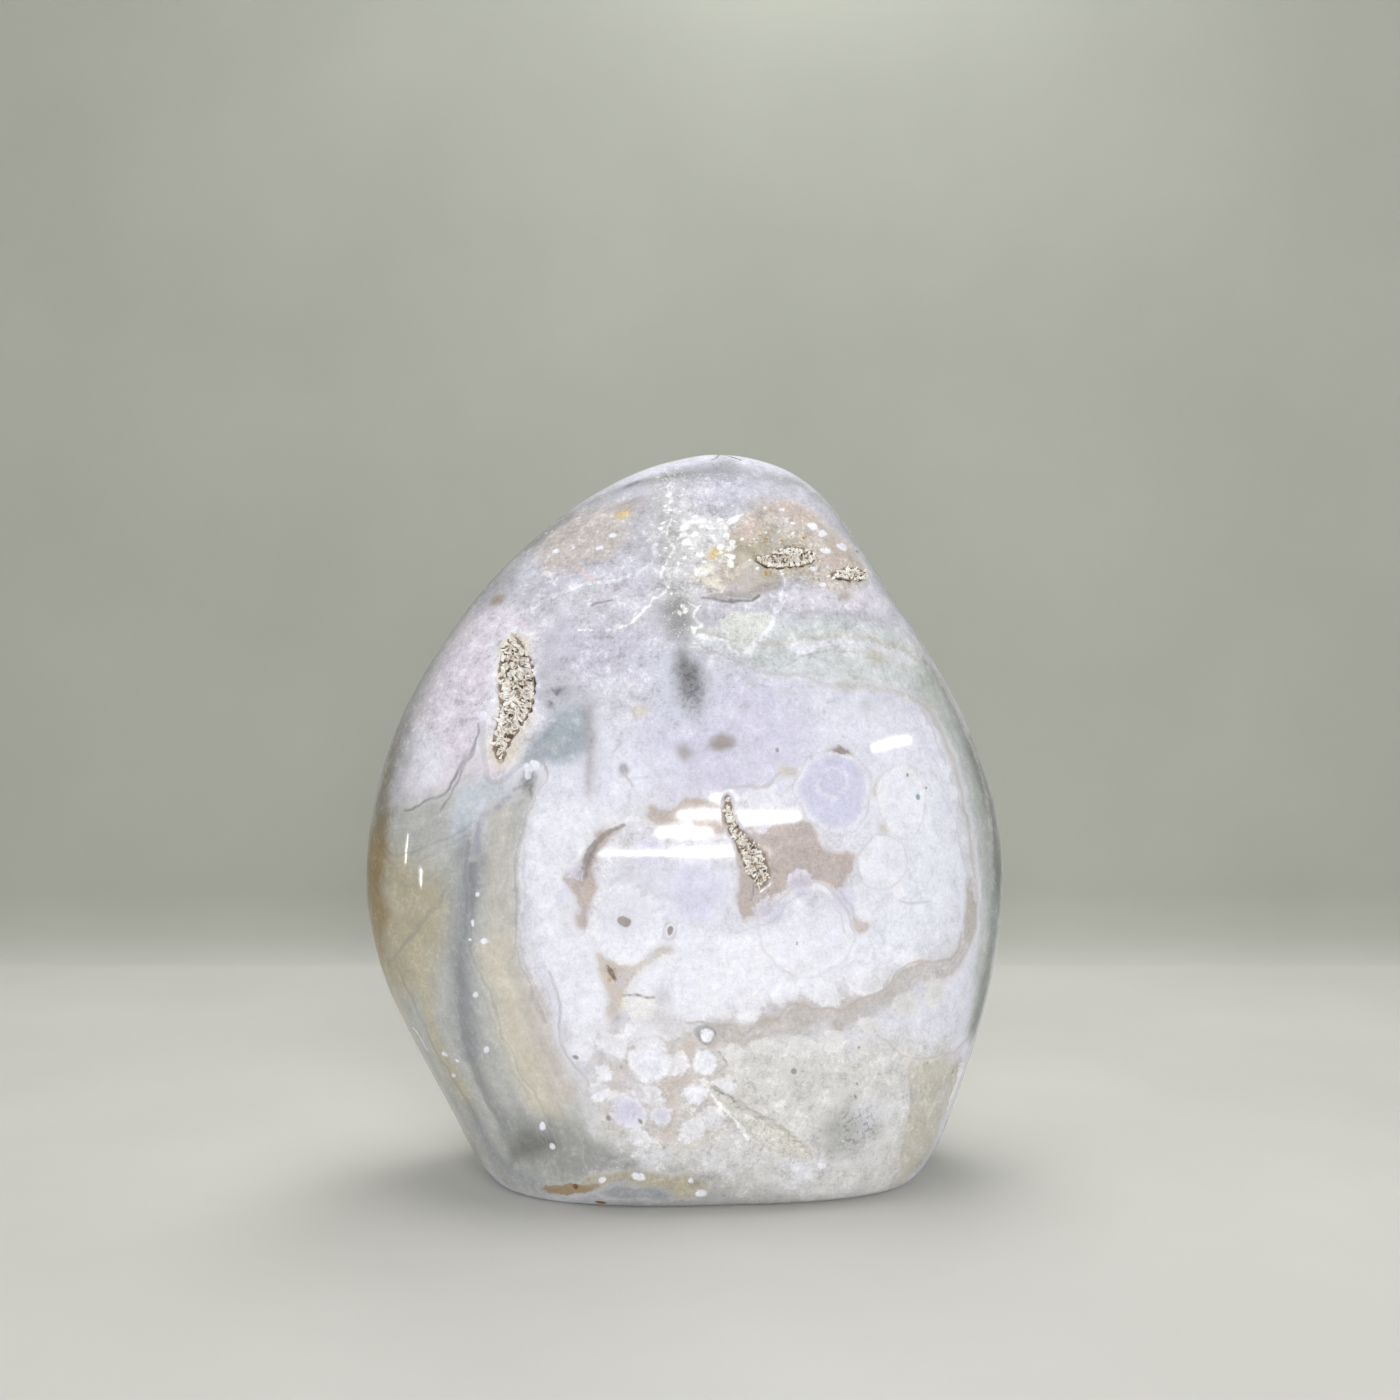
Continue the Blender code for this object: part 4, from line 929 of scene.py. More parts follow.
class SurfaceMap:
    """A flat map of the stone: millimetres round each section from the front, and up from mid height."""

    ROWS = 240
    COLUMNS = 720

    def __init__(self):
        positions = np.linspace(0, len(LEVELS), self.ROWS)
        angles = np.linspace(-math.pi, math.pi, self.COLUMNS + 1)
        grid = section_points(
            level_at(np.repeat(positions, len(angles))), np.tile(angles, self.ROWS)
        ).reshape(self.ROWS, len(angles), 3)
        round_steps = np.linalg.norm(np.diff(grid, axis=1), axis=2)
        self.across = np.concatenate((np.zeros((self.ROWS, 1)), np.cumsum(round_steps, 1)), 1)
        self.across -= self.across[:, [self.COLUMNS // 4]]
        up_steps = np.linalg.norm(np.diff(grid, axis=0), axis=2)
        self.up = np.concatenate((np.zeros((1, len(angles))), np.cumsum(up_steps, 0)), 0)
        self.up -= self.up[[self.ROWS // 2]]

    def places(self, directions):
        """The flat place of each unit direction. The back is half a turn on, at both ends."""
        position, angle, inset = places_on_sphere(directions)
        row = position / len(LEVELS) * (self.ROWS - 1)
        column = (angle + math.pi) / (2 * math.pi) * self.COLUMNS
        low_row = np.clip(row.astype(int), 0, self.ROWS - 2)
        low_column = np.clip(column.astype(int), 0, self.COLUMNS - 1)
        down, right = row - low_row, column - low_column
        values = []
        for table in (self.across, self.up):
            values.append(
                table[low_row, low_column] * (1 - down) * (1 - right)
                + table[low_row + 1, low_column] * down * (1 - right)
                + table[low_row, low_column + 1] * (1 - down) * right
                + table[low_row + 1, low_column + 1] * down * right
            )
        flat = np.column_stack(values)
        perimeter = self.across[low_row, -1] - self.across[low_row, 0]
        behind = flat[:, 0] > perimeter / 2
        flat[behind, 0] -= perimeter[behind]
        flat[:, 1] -= (1 - inset) * (LEVELS[0][1] + LEVELS[0][3]) / 2
        return flat

    def turned(self, directions, flat, turn):
        """The same places, measured round each section from where a view turned so far looks."""
        position, _, _ = places_on_sphere(directions)
        row = np.clip((position / len(LEVELS) * (self.ROWS - 1)).astype(int), 0, self.ROWS - 1)
        column = int((0.25 + turn / 360) % 1 * self.COLUMNS)
        perimeter = self.across[row, -1] - self.across[row, 0]
        places = flat.copy()
        places[:, 0] -= self.across[row, column]
        places[:, 0] -= np.round(places[:, 0] / perimeter) * perimeter
        return places


def array_of(collection, field, width, kind=float):
    values = np.empty(len(collection) * width, kind)
    collection.foreach_get(field, values)
    return values.reshape(-1, width) if width > 1 else values


def unit_points(bm):
    return np.array([vert.co.normalized() for vert in bm.verts])


def refine(bm, wanted):
    """Cuts each face that has a wanted corner into four."""
    chosen = {}
    for face in bm.faces:
        if any(wanted[vert.index] for vert in face.verts):
            chosen.update(dict.fromkeys(face.edges))
    bmesh.ops.subdivide_edges(bm, edges=list(chosen), cuts=1, use_grid_fill=True)
    bm.verts.index_update()


def path_distance(points, path, closed=False):
    """The distance of each point to a path, with the nearest span and the share along it."""
    start = path if closed else path[:-1]
    run = np.roll(path, -1, 0) - path if closed else path[1:] - path[:-1]
    offset = points[:, None, :] - start[None]
    along = np.clip((offset * run).sum(-1) / np.maximum((run * run).sum(-1), 1e-12), 0, 1)
    gap = np.linalg.norm(offset - along[..., None] * run, axis=-1)
    nearest = gap.argmin(1)
    every = np.arange(len(points))
    return gap[every, nearest], nearest, along[every, nearest]


def inside(points, path):
    """Whether each point lies inside a closed path."""
    after = np.roll(path, -1, 0)
    x, y = points[:, None, 0], points[:, None, 1]
    crosses = (path[:, 1] > y) != (after[:, 1] > y)
    rise = np.where(after[:, 1] == path[:, 1], 1e-9, after[:, 1] - path[:, 1])
    at = (after[:, 0] - path[:, 0]) * (y - path[:, 1]) / rise + path[:, 0]
    return (crosses & (x < at)).sum(1) % 2 == 1


def rounded(path, closed):
    """The path with its corners cut twice."""
    for _ in range(2):
        after = np.roll(path, -1, 0) if closed else path[1:]
        before = path if closed else path[:-1]
        pairs = np.stack((before * 0.75 + after * 0.25, before * 0.25 + after * 0.75), 1)
        middle = pairs.reshape(-1, path.shape[1])
        path = middle if closed else np.vstack((path[:1], middle, path[-1:]))
    return path


class Side:
    """Finds the place on the stone that a pixel shows, of the photograph or of its like from elsewhere."""

    def __init__(self, points, faces, flat, turn):
        self.turn = Matrix.Rotation(math.radians(turn), 3, "Z")
        self.eye = self.turn @ EYE
        self.points = points
        self.faces = faces
        self.flat = flat
        self.surface = BVHTree.FromPolygons([Vector(point) for point in points], faces)

    def hit(self, pixel):
        """The point, outward direction and face under a pixel, or the nearest to it at the edge."""
        half = FRAME_SIDE / 2
        ray = self.turn @ Vector(((pixel[0] - half) / FOCAL, 1, (half - pixel[1]) / FOCAL)).normalized()
        point, normal, face, _ = self.surface.ray_cast(self.eye, ray)
        if point is None:
            point, normal, face, _ = self.surface.find_nearest(self.eye + ray * self.eye.xy.length)
        return point, normal, face

    def place(self, pixel):
        point, _, face = self.hit(pixel)
        corners = self.faces[face]
        weights = interpolate.poly_3d_calc([Vector(self.points[corner]) for corner in corners], point)
        return sum(self.flat[corner] * weight for corner, weight in zip(corners, weights))

    def path(self, pixels):
        return np.array([self.place(pixel) for pixel in pixels])


# The painting's layers, from the lowest up.
LAYERS = ("veil", "matrix", "lobe", "line", "spot")
# In millimetres: the depth of a point far from all marks; how far a mark's colour bleeds past its
# edge, so that a wandering edge still meets it; how far round a path and round a dot points are
# looked at; how soft the join of two marks is; and the least soft edge.
FAR_OUT = -5.0
BLEED = 1.6
LEAST_REACH = 3.0
DOT_REACH = 8.0
JOIN = 0.3
LEAST_SOFT = 0.2


class Painting:
    """The colour of each point of the stone, and on each layer its depth inside the layer's marks."""

    def __init__(self, flat, place):
        self.turn_to(flat, place)
        count = len(flat)
        self.tone = np.tile(np.array(settings("colours").ground), (count, 1))
        self.depth = {layer: np.full(count, FAR_OUT) for layer in LAYERS}
        self.tint = {layer: np.ones((count, 4)) for layer in LAYERS}

    def turn_to(self, flat, place):
        """Paints by another flat map of the same points, and its way to place a pixel in it."""
        self.flat = flat
        self.place = place

    def depth_in(self, mark):
        """The points near a mark, and how deep inside it each lies, in millimetres."""
        if mark.form in ("area", "stroke"):
            path = rounded(self.place(mark.pixels), mark.form == "area")
            reach = mark.size * PIXEL + max(LEAST_REACH, mark.soft * PIXEL * 2)
            low, high = path.min(0) - reach, path.max(0) + reach
            near = np.flatnonzero(((self.flat > low) & (self.flat < high)).all(1))
            gap, _, _ = path_distance(self.flat[near], path, mark.form == "area")
            if mark.form == "area":
                return near, np.where(inside(self.flat[near], path), gap, -gap)
            return near, mark.size * PIXEL - gap
        depths = np.full(len(self.flat), -np.inf)
        for across, down, half_width, *half_height in mark.pixels:
            centre = self.place(((across, down),))[0]
            radii = np.array((half_width, half_height[0] if half_height else half_width)) * PIXEL
            offset = (self.flat - centre) / radii
            depth = (1 - np.linalg.norm(offset, axis=1)) * radii.min()
            if mark.form == "rings":
                depth = mark.size * PIXEL - np.abs(depth)
            depths = np.maximum(depths, depth)
        near = np.flatnonzero(depths > -DOT_REACH)
        return near, depths[near]

    def add(self, mark):
        near, depth = self.depth_in(mark)
        shade = np.array(getattr(settings("colours"), mark.shade))
        if mark.layer == "tone":
            weight = np.clip(depth / max(mark.soft * PIXEL, LEAST_SOFT) * 0.5 + 0.5, 0, 1)
            weight = (weight * weight * (3 - 2 * weight) * mark.opacity)[:, None]
            self.tone[near] = self.tone[near] * (1 - weight) + shade * weight
            return
        old = self.depth[mark.layer][near]
        weight = np.where(old > 0, np.clip(depth / JOIN + 0.5, 0, 1), depth > -BLEED)[:, None]
        colour = np.append(shade, mark.opacity)
        self.tint[mark.layer][near] = self.tint[mark.layer][near] * (1 - weight) + colour * weight
        self.depth[mark.layer][near] = np.maximum(old, depth)


# How edges wander: the size of each wave, how far it moves them, both in mm, and where it is read.
EDGE_WAVES = ((7.0, 0.75, 0.0), (2.6, 0.55, 40.0), (1.1, 0.22, 80.0))


def warp(points, flat):
    """The flat places, each strayed a little, so that edges wander as the stone's do."""
    strayed = flat.copy()
    for size, reach, start in EDGE_WAVES:
        offset = Vector((start, 0, 0))
        strayed += np.array([noise.noise_vector(Vector(p) / size + offset)[:2] for p in points]) * reach
    return strayed


def hollow_line(name, surface, steps=4):
    """A smooth line through a hollow's stations: centre, outward direction and half width."""
    stations = np.array(HOLLOWS[name][0])
    knots = np.vstack((2 * stations[0] - stations[1], stations, 2 * stations[-1] - stations[-2]))
    spans = len(stations) - 1
    line = []
    for x, z, half_width in between(knots, np.linspace(0, spans, spans * steps + 1)):
        centre, outward, _, _ = surface.ray_cast(Vector((x, 2 * EYE.y, z)), Vector((0, 1, 0)))
        line.append((centre, outward, max(half_width, LEAST_HALF_WIDTH)))
    return line


def gap_to_line(points, line):
    """The distance of points to a hollow's line, with its outward direction and half width there."""
    centres = np.array([centre for centre, _, _ in line])
    outwards = np.array([outward for _, outward, _ in line])
    widths = np.array([width for _, _, width in line])
    near = np.flatnonzero(((points > centres.min(0) - 5) & (points < centres.max(0) + 5)).all(1))
    gap, index, along = path_distance(points[near], centres)
    outward = outwards[index] * (1 - along)[:, None] + outwards[index + 1] * along[:, None]
    return near, gap, outward, widths[index] * (1 - along) + widths[index + 1] * along


def press_hollows(points, lines):
    """Presses each hollow into the stone, and returns how deep inside a hollow each point is."""
    depths = np.full(len(points), FAR_OUT)
    tints = np.ones((len(points), 4))
    pressed = points.copy()
    for name, line in lines.items():
        lift = HOLLOWS[name][1]
        near, gap, outward, width = gap_to_line(points, line)
        stray = np.array([
            noise.noise(Vector(points[index]) / WANDER_SCALE * WANDER_FINENESS) for index in near
        ])
        reach = width * (1 + HOLLOW_STRAY * stray) + WANDER * stray
        reach = np.maximum(reach, 0.1)
        drop = np.sqrt(np.maximum(reach**2 - gap**2, 0)) - lift * reach
        drop = np.where(gap < reach, np.maximum(drop, 0), 0)
        pressed[near] -= outward * drop[:, None]
        closer = near[reach - gap > depths[near]]
        tints[closer, :3] = getattr(settings("colours"), WALLS[name])
        depths[near] = np.maximum(depths[near], reach - gap)
    return pressed, depths, tints


# The net is finer on directions with less than this along +Y and more than this up.
FINE_BEHIND = 0.12
FINE_ABOVE = -0.93
HOLLOW_MARGIN = 0.2


def make_net(fine_marks):
    """The stone's net: unit directions and faces, finer on the front, near lines and round hollows."""
    sizes = settings("stone")
    surface_map = SurfaceMap()
    bm = bmesh.new()
    bmesh.ops.create_cube(bm, size=2)
    bmesh.ops.subdivide_edges(bm, edges=bm.edges, cuts=sizes.cells - 1, use_grid_fill=True)
    bm.verts.index_update()
    directions = unit_points(bm)
    points = stone_points(directions)
    flat = surface_map.places(directions)
    faces = [[vert.index for vert in face.verts] for face in bm.faces]
    front = Side(points, faces, flat, 0)
    others = [
        Side(points, faces, surface_map.turned(directions, flat, turn), turn) for turn in OTHER_SIDES
    ]
    lines = {name: hollow_line(name, front.surface) for name in HOLLOWS}
    refine(bm, (directions[:, 1] < FINE_BEHIND) & (directions[:, 2] > FINE_ABOVE))
    for reach in (sizes.fine_reach / MM, sizes.finest_reach / MM):
        directions = unit_points(bm)
        points = stone_points(directions)
        gaps = np.full(len(points), np.inf)
        painting = Painting(warp(points, surface_map.places(directions)), front.path)
        for mark in fine_marks:
            near, depth = painting.depth_in(mark)
            gaps[near] = np.minimum(gaps[near], np.abs(depth))
        for line in lines.values():
            near, gap, _, width = gap_to_line(points, line)
            gaps[near] = np.minimum(gaps[near], np.maximum(gap - width - HOLLOW_MARGIN, 0))
        refine(bm, gaps < reach)
    directions = unit_points(bm)
    for vert, direction in zip(bm.verts, directions):
        vert.co = direction
    return bm, surface_map, front, others, lines


class Wire:
    """A shader socket in an arithmetic expression: each operator adds a Math node."""

    def __init__(self, kit, socket):
        self.kit = kit
        self.socket = socket

    def math(self, operation, *others):
        return self.kit.add("ShaderNodeMath", {"operation": operation}, dict(enumerate((self, *others))))

    def __add__(self, other):
        return self.math("ADD", other)

    __radd__ = __add__

    def __sub__(self, other):
        return self.math("SUBTRACT", other)

    def __rsub__(self, other):
        return self.kit.add("ShaderNodeMath", {"operation": "SUBTRACT"}, {0: other, 1: self})

    def __mul__(self, other):
        return self.math("MULTIPLY", other)

    __rmul__ = __mul__

    def clamp(self):
        return self.kit.add("ShaderNodeClamp", {}, {"Value": self})

    def smooth(self, low, high):
        """0 below low and 1 above high, with a soft step between."""
        return self.kit.add(
            "ShaderNodeMapRange", {"interpolation_type": "SMOOTHSTEP"},
            {"Value": self, "From Min": low, "From Max": high},
        )


class Finish:
    """A material under construction."""

    def __init__(self, name):
        self.material = bpy.data.materials.new(name)
        self.material.use_nodes = True
        self.tree = self.material.node_tree
        self.shader = self.tree.nodes["Principled BSDF"]

    def add(self, kind, options, sockets, output=0):
        """A node of a kind: its options are set first, then the values or links of its sockets."""
        node = self.tree.nodes.new(kind)
        for name, value in options.items():
            setattr(node, name, value)
        for name, value in sockets.items():
            self.feed(node.inputs[name], value)
        return Wire(self, node.outputs[output])

    def feed(self, socket, value):
        if isinstance(value, Wire):
            self.tree.links.new(value.socket, socket)
        elif value is not None:
            socket.default_value = value

    def set(self, **values):
        """Sets or links the shader's own sockets, named with underscores for spaces."""
        for name, value in values.items():
            self.feed(self.shader.inputs[name.replace("_", " ")], value)

    def object_place(self):
        return self.add("ShaderNodeTexCoord", {}, {}, "Object")

    def attribute(self, name, output="Fac"):
        return self.add("ShaderNodeAttribute", {"attribute_name": name}, {}, output)

    def mix(self, factor, first, second, blend="MIX"):
        return self.add(
            "ShaderNodeMix", {"data_type": "RGBA", "blend_type": blend, "clamp_result": False},
            {0: factor, 6: first, 7: second}, 2,
        )

    def noise(self, place, millimetres, detail):
        """Noise from -1 to 1 about, with lumps of the given size."""
        sockets = {"Vector": place, "Scale": 1 / (millimetres * MM), "Detail": detail}
        return self.add("ShaderNodeTexNoise", {}, sockets) * 2 - 1

    def cells(self, place, millimetres, feature):
        sockets = {"Vector": place, "Scale": 1 / (millimetres * MM)}
        return self.add("ShaderNodeTexVoronoi", {"feature": feature}, sockets, "Distance")

    def shifted(self, place, shift):
        return self.add("ShaderNodeVectorMath", {"operation": "ADD"}, {0: place, 1: shift})

    def shaded(self, colour, amount):
        """The colour times a number."""
        brightness = self.add("ShaderNodeCombineColor", {}, {0: amount, 1: amount, 2: amount})
        return self.mix(1.0, colour, brightness, "MULTIPLY")

    def bump(self, height, millimetres, strength):
        sockets = {"Height": height, "Distance": millimetres * MM, "Strength": strength}
        return self.add("ShaderNodeBump", {}, sockets)


def opaque(red, green, blue):
    return (*linear(red, green, blue), 1.0)


def grey(value):
    return (value, value, value, 1.0)


# The noises of the stone: where each is read, the size of its lumps in mm, and its detail.
NOISES = {
    "coarse": ((0.0, 0.0, 0.0), 1.9, 4.0),
    "fine": ((0.31, 0.17, 0.05), 0.6, 3.0),
    "grain": ((0.11, 0.37, 0.23), 0.24, 1.0),
    "cloud": ((0.71, 0.07, 0.43), 7.0, 5.0),
    "fog": ((0.13, 0.57, 0.93), 3.4, 4.0),
}
# The body's round cells, in mm: their size, how far they stray, and the size of the strays.
CELL_SIZE = 3.6
CELL_STRAY = 2.6
STRAY_SIZE = 2.2
# Each layer's edge, in mm: how soft it is, then how far coarse, fine and grainy noise moves it.
EDGES = {
    "veil": (0.70, 0.9, 0.40, 0.3),
    "matrix": (0.38, 1.0, 0.55, 0.2),
    "lobe": (0.34, 0.80, 0.40, 0.15),
    "line": (0.17, 0.16, 0.14, 0.10),
    "spot": (0.13, 0.12, 0.08, 0.05),
}
MATRIX_EDGE = (226, 220, 222)
LOBE_RIM = 0.93
SOOT_AND_SHADE_GREY = 0.07
# Greys of the painted glints and the painted pit shade on broken faces.
BROKEN_GLINT = 0.92
BROKEN_PIT_SHADE = 0.2


def polished_agate():
    """Polished chalcedony: painted layers with soft, wandering edges over clouds, cells and grains."""
    sizes = settings("stone")
    finish = Finish("polished_agate")
    place = finish.object_place()
    coarse, fine, grain, cloud, fog = (
        finish.noise(finish.shifted(place, shift), size, detail) for shift, size, detail in NOISES.values()
    )
    sockets = {"Vector": place, "Scale": 1 / (STRAY_SIZE * MM), "Detail": 3.0}
    stray = finish.add("ShaderNodeTexNoise", {}, sockets, "Color")
    sockets = {0: stray, 1: (CELL_STRAY * MM,) * 3, 2: place}
    strayed = finish.add("ShaderNodeVectorMath", {"operation": "MULTIPLY_ADD"}, sockets)
    orbs = finish.cells(strayed, CELL_SIZE, "F1")
    seams = finish.cells(strayed, CELL_SIZE, "DISTANCE_TO_EDGE")
    body = finish.attribute("body")
    grit = finish.attribute("grit")
    mixed = coarse * 0.9 + fine * 0.6 + grain * 0.4

    # Fine bands in the clear fields, fainter away from their guides.
    guide = finish.attribute("bands")
    sockets = {"W": guide + coarse * 0.35 + cloud * 0.8, "Scale": 0.6, "Detail": 5.0, "Roughness": 0.65}
    band = finish.add("ShaderNodeTexNoise", {"noise_dimensions": "1D"}, sockets) * 2 - 1
    clear = (1 - body) * (1 - guide.smooth(5.0, 12.0) * 0.85)

    # What lies over the painted tone: clouds and seams in the body, grit, then the fine bands.
    colour = finish.attribute("tone", "Color")
    for cover, tint_over in (
        (cloud.smooth(0.0, 0.6) * body * 0.55, (235, 237, 249)),
        (fog.smooth(0.05, 0.7) * body * 0.45, (205, 205, 213)),
        ((0.0 - cloud).smooth(0.1, 0.7) * body * 0.25, (208, 204, 226)),
        (seams.smooth(0.10, 0.0) * cloud.smooth(-0.2, 0.3) * body * 0.22, (192, 187, 192)),
        (mixed.smooth(0.12, 0.5) * grit * 0.35, (240, 239, 240)),
        ((0.0 - mixed).smooth(0.14, 0.5) * grit * 0.3, (168, 164, 162)),
        (band.smooth(0.02, 0.5) * clear * 0.45, (219, 217, 211)),
        ((0.0 - band).smooth(0.02, 0.5) * clear * 0.45, (140, 146, 154)),
    ):
        colour = finish.mix(cover, colour, opaque(*tint_over))
    shade = 1.0 + cloud * 0.05 + fog * 0.08 + coarse * 0.10 + fine * 0.12 + grain * 0.12
    shade = shade + grit * (fog * 0.12 + coarse * 0.20 + fine * 0.14 + grain * 0.10)
    shade = shade + (0.45 - orbs) * 0.08 * body
    shade = shade + band * clear * 0.12 - clear * grain * 0.06

    for layer, (soft, by_coarse, by_fine, by_grain) in EDGES.items():
        depth = finish.attribute(layer + "_depth") + coarse * by_coarse + fine * by_fine + grain * by_grain
        mask = depth.smooth(-soft, soft)
        opacity = finish.attribute(layer + "_tint", "Alpha")
        if layer == "line":
            opacity = opacity * (0.75 + fog * 0.7 + fine * 0.5).clamp()
        if layer == "matrix":
            opacity = opacity * (1.0 + coarse * 0.7 + fog * 0.5).clamp()
        colour = finish.mix(mask * opacity, colour, finish.attribute(layer + "_tint", "Color"))
        if layer == "matrix":
            # Fine bands that run beside the matrix's edge, and a grainier matrix.
            fringe = (depth * 7.0).math("SINE") * depth.smooth(-1.6, -0.2) * (1 - mask)
            shade = shade + fringe * 0.02 + mask * (grain * 0.06 + fine * 0.05 + coarse * 0.05)
            thin = depth.smooth(-1.0, 0.2) * (1 - mask)
            colour = finish.mix(thin * 0.35, colour, opaque(*MATRIX_EDGE))
        if layer == "lobe":
            rim = mask * (1 - depth.smooth(0.1, 1.4))
            colour = finish.mix(rim * 0.45 * opacity, colour, grey(LOBE_RIM))

    wall = finish.attribute("hollow").smooth(-0.05, 0.15)
    colour = finish.mix(wall * 0.8, colour, finish.attribute("hollow_tint", "Color"))
    # Dark grains: smoky clouds, and painted shadow along the gouge's crack.
    grains = (grain * 0.4 + fine * 0.9 + coarse * 0.2).smooth(-0.02, 0.22)
    colour = finish.mix(grains * finish.attribute("soot") * 0.9, colour, grey(SOOT_AND_SHADE_GREY))
    colour = finish.shaded(colour, shade)

    broken = finish.attribute("broken")
    # Painted glints on the bumps' peaks and painted shade in their pits, on the broken faces.
    glint = (grain * 0.6 + fine * 0.5).smooth(0.12, 0.3) * broken
    colour = finish.mix(glint * 0.75, colour, grey(BROKEN_GLINT))
    pit = (0.0 - grain * 0.6 - fine * 0.5).smooth(0.2, 0.42) * broken
    colour = finish.mix(pit * 0.5, colour, grey(BROKEN_PIT_SHADE))
    rough = (broken + wall * 0.6).clamp()
    roughness = rough * (sizes.broken - sizes.polish) + sizes.polish + fine * 0.015
    bump = finish.bump((fine * 0.6 + grain * 0.4) * rough, 0.16, 0.8)
    finish.set(Base_Color=colour, Roughness=roughness, IOR=1.54, Normal=bump)
    return finish.material


def quartz_point():
    """Small quartz points: white, champagne and a few stained dark, each one colour, with bright faces; the
    white ones are partly painted glints and the dark ones partly painted shade.
    """
    sizes = settings("druse")
    finish = Finish("quartz_point")
    pick = finish.attribute("point_pick")
    fleck = finish.noise(finish.object_place(), 0.3, 1.0)
    champagne = (*sizes.champagne, 1.0)
    # The palest points are partly painted glints, the darkest partly painted shade between points.
    colour = finish.mix((pick + fleck * 0.1).smooth(0.4, 0.6), champagne, (*sizes.pale, 1.0))
    colour = finish.mix(1 - pick.smooth(0.06, 0.10), colour, (*sizes.dark, 1.0))
    finish.set(Base_Color=colour, Roughness=fleck * 0.03 + 0.12, IOR=1.55, Specular_IOR_Level=0.8)
    return finish.material


def druse_bed():
    """The sugary lining between the points, darker than them partly as painted shade."""
    finish = Finish("druse_bed")
    grain = finish.noise(finish.object_place(), 0.25, 2.0)
    bed = settings("druse").bed
    colour = finish.mix(grain.smooth(-0.4, 0.5), (*(part * 0.7 for part in bed), 1.0), (*bed, 1.0))
    bump = finish.bump(grain, 0.1, 0.7)
    finish.set(Base_Color=colour, Roughness=grain * 0.1 + 0.45, IOR=1.55, Normal=bump)
    return finish.material


def new_object(name, mesh, materials):
    obj = bpy.data.objects.new(name, mesh)
    bpy.context.scene.collection.objects.link(obj)
    for material in materials:
        mesh.materials.append(material)
    return obj


def store(mesh, name, kind, values):
    attribute = mesh.attributes.new(name, kind, "POINT")
    field = "color" if kind == "FLOAT_COLOR" else "value"
    attribute.data.foreach_set(field, np.ascontiguousarray(values, np.float32).ravel())


def painted_field(painting, places):
    """How strongly each point lies in outlined places."""
    field = np.zeros(len(painting.flat))
    for amount, soft, pixels in places:
        near, depth = painting.depth_in(area("ground", *pixels, soft=soft))
        weight = np.clip(depth / (soft * PIXEL) * 0.5 + 0.5, 0, 1)
        field[near] = np.maximum(field[near], weight * amount)
    return field


# The painted fields, the distance in mm where no bands are, and the least of two fields.
FIELDS = ("broken", "soot", "clear", "grit")
FAR_FROM_BANDS = 60.0
LEAST_GRIT = 0.25
LEAST_BROKEN = 0.02
LUMP_SIZES = (0.9, 0.4)
LUMP_SINK = 0.6


def lump(point):
    """How high the rough crest stands at a point, as a share of its lumps' height."""
    broad, small = (noise.noise(Vector(point) / size) for size in LUMP_SIZES)
    return broad + 0.5 * small


def make_stone():
    sizes = settings("stone")
    fine_marks = [mark for mark in FRONT_LINES + FRONT_SPOTS if mark.layer in ("line", "spot")]
    bm, surface_map, front, others, lines = make_net(fine_marks)
    bmesh.ops.triangulate(bm, faces=bm.faces)
    mesh = bpy.data.meshes.new("stone_dressed")
    bm.to_mesh(mesh)
    bm.free()
    directions = array_of(mesh.vertices, "co", 3)
    points = stone_points(directions)
    flat = surface_map.places(directions)
    stray = warp(points, flat) - flat
    painting = Painting(flat, front.path)
    fields = {name: np.zeros(len(points)) for name in FIELDS}
    bands = np.full(len(points), FAR_FROM_BANDS)
    views = [*zip(others, OTHER_SIDES.items()), (front, (0, FRONT))]
    for side, (turn, (marks, places, guides)) in views:
        painting.turn_to(surface_map.turned(directions, flat, turn) + stray, side.path)
        for mark in marks:
            painting.add(mark)
        for name, outlines in places.items():
            fields[name] = np.maximum(fields[name], painted_field(painting, outlines))
        for guide in guides:
            gap, _, _ = path_distance(painting.flat, rounded(side.path(guide), False))
            bands = np.minimum(bands, gap)
    broken = fields["broken"]
    pressed, hollow, hollow_tint = press_hollows(points, lines)
    low, high = np.array(STONE_LOW) / MM, np.array(STONE_HIGH) / MM
    mesh.vertices.foreach_set("co", (points * MM).astype(np.float32).ravel())
    mesh.update()
    normals = array_of(mesh.vertices, "normal", 3)
    lumps = np.array([
        lump(point) if amount > LEAST_BROKEN else 0.0 for point, amount in zip(points, broken)
    ])
    pressed += normals * ((lumps - LUMP_SINK) * broken * sizes.lump / MM)[:, None]
    pressed = np.clip(pressed, low, high)
    mesh.vertices.foreach_set("co", (pressed * MM).astype(np.float32).ravel())
    mesh.update()
    store(mesh, "tone", "FLOAT_COLOR", np.column_stack((painting.tone, np.ones(len(points)))))
    store(mesh, "hollow_tint", "FLOAT_COLOR", hollow_tint)
    for layer in LAYERS:
        store(mesh, layer + "_depth", "FLOAT", painting.depth[layer])
        store(mesh, layer + "_tint", "FLOAT_COLOR", painting.tint[layer])
    for name, values in (
        ("broken", broken), ("soot", fields["soot"]), ("body", 1 - fields["clear"]), ("bands", bands),
        ("grit", np.maximum(fields["grit"], LEAST_GRIT)), ("hollow", hollow),
    ):
        store(mesh, name, "FLOAT", values)
    mesh.shade_smooth()
    stone = new_object("stone_dressed", mesh, [polished_agate()])
    print("stone:", len(mesh.polygons), "triangles")
    return stone, front, lines


# A lining's cells across, the angle that it reaches up each side, and its least radius in mm.
LINING_COLUMNS = 12
LINING_ARC = math.radians(84)
LEAST_LINING_REACH = 0.08


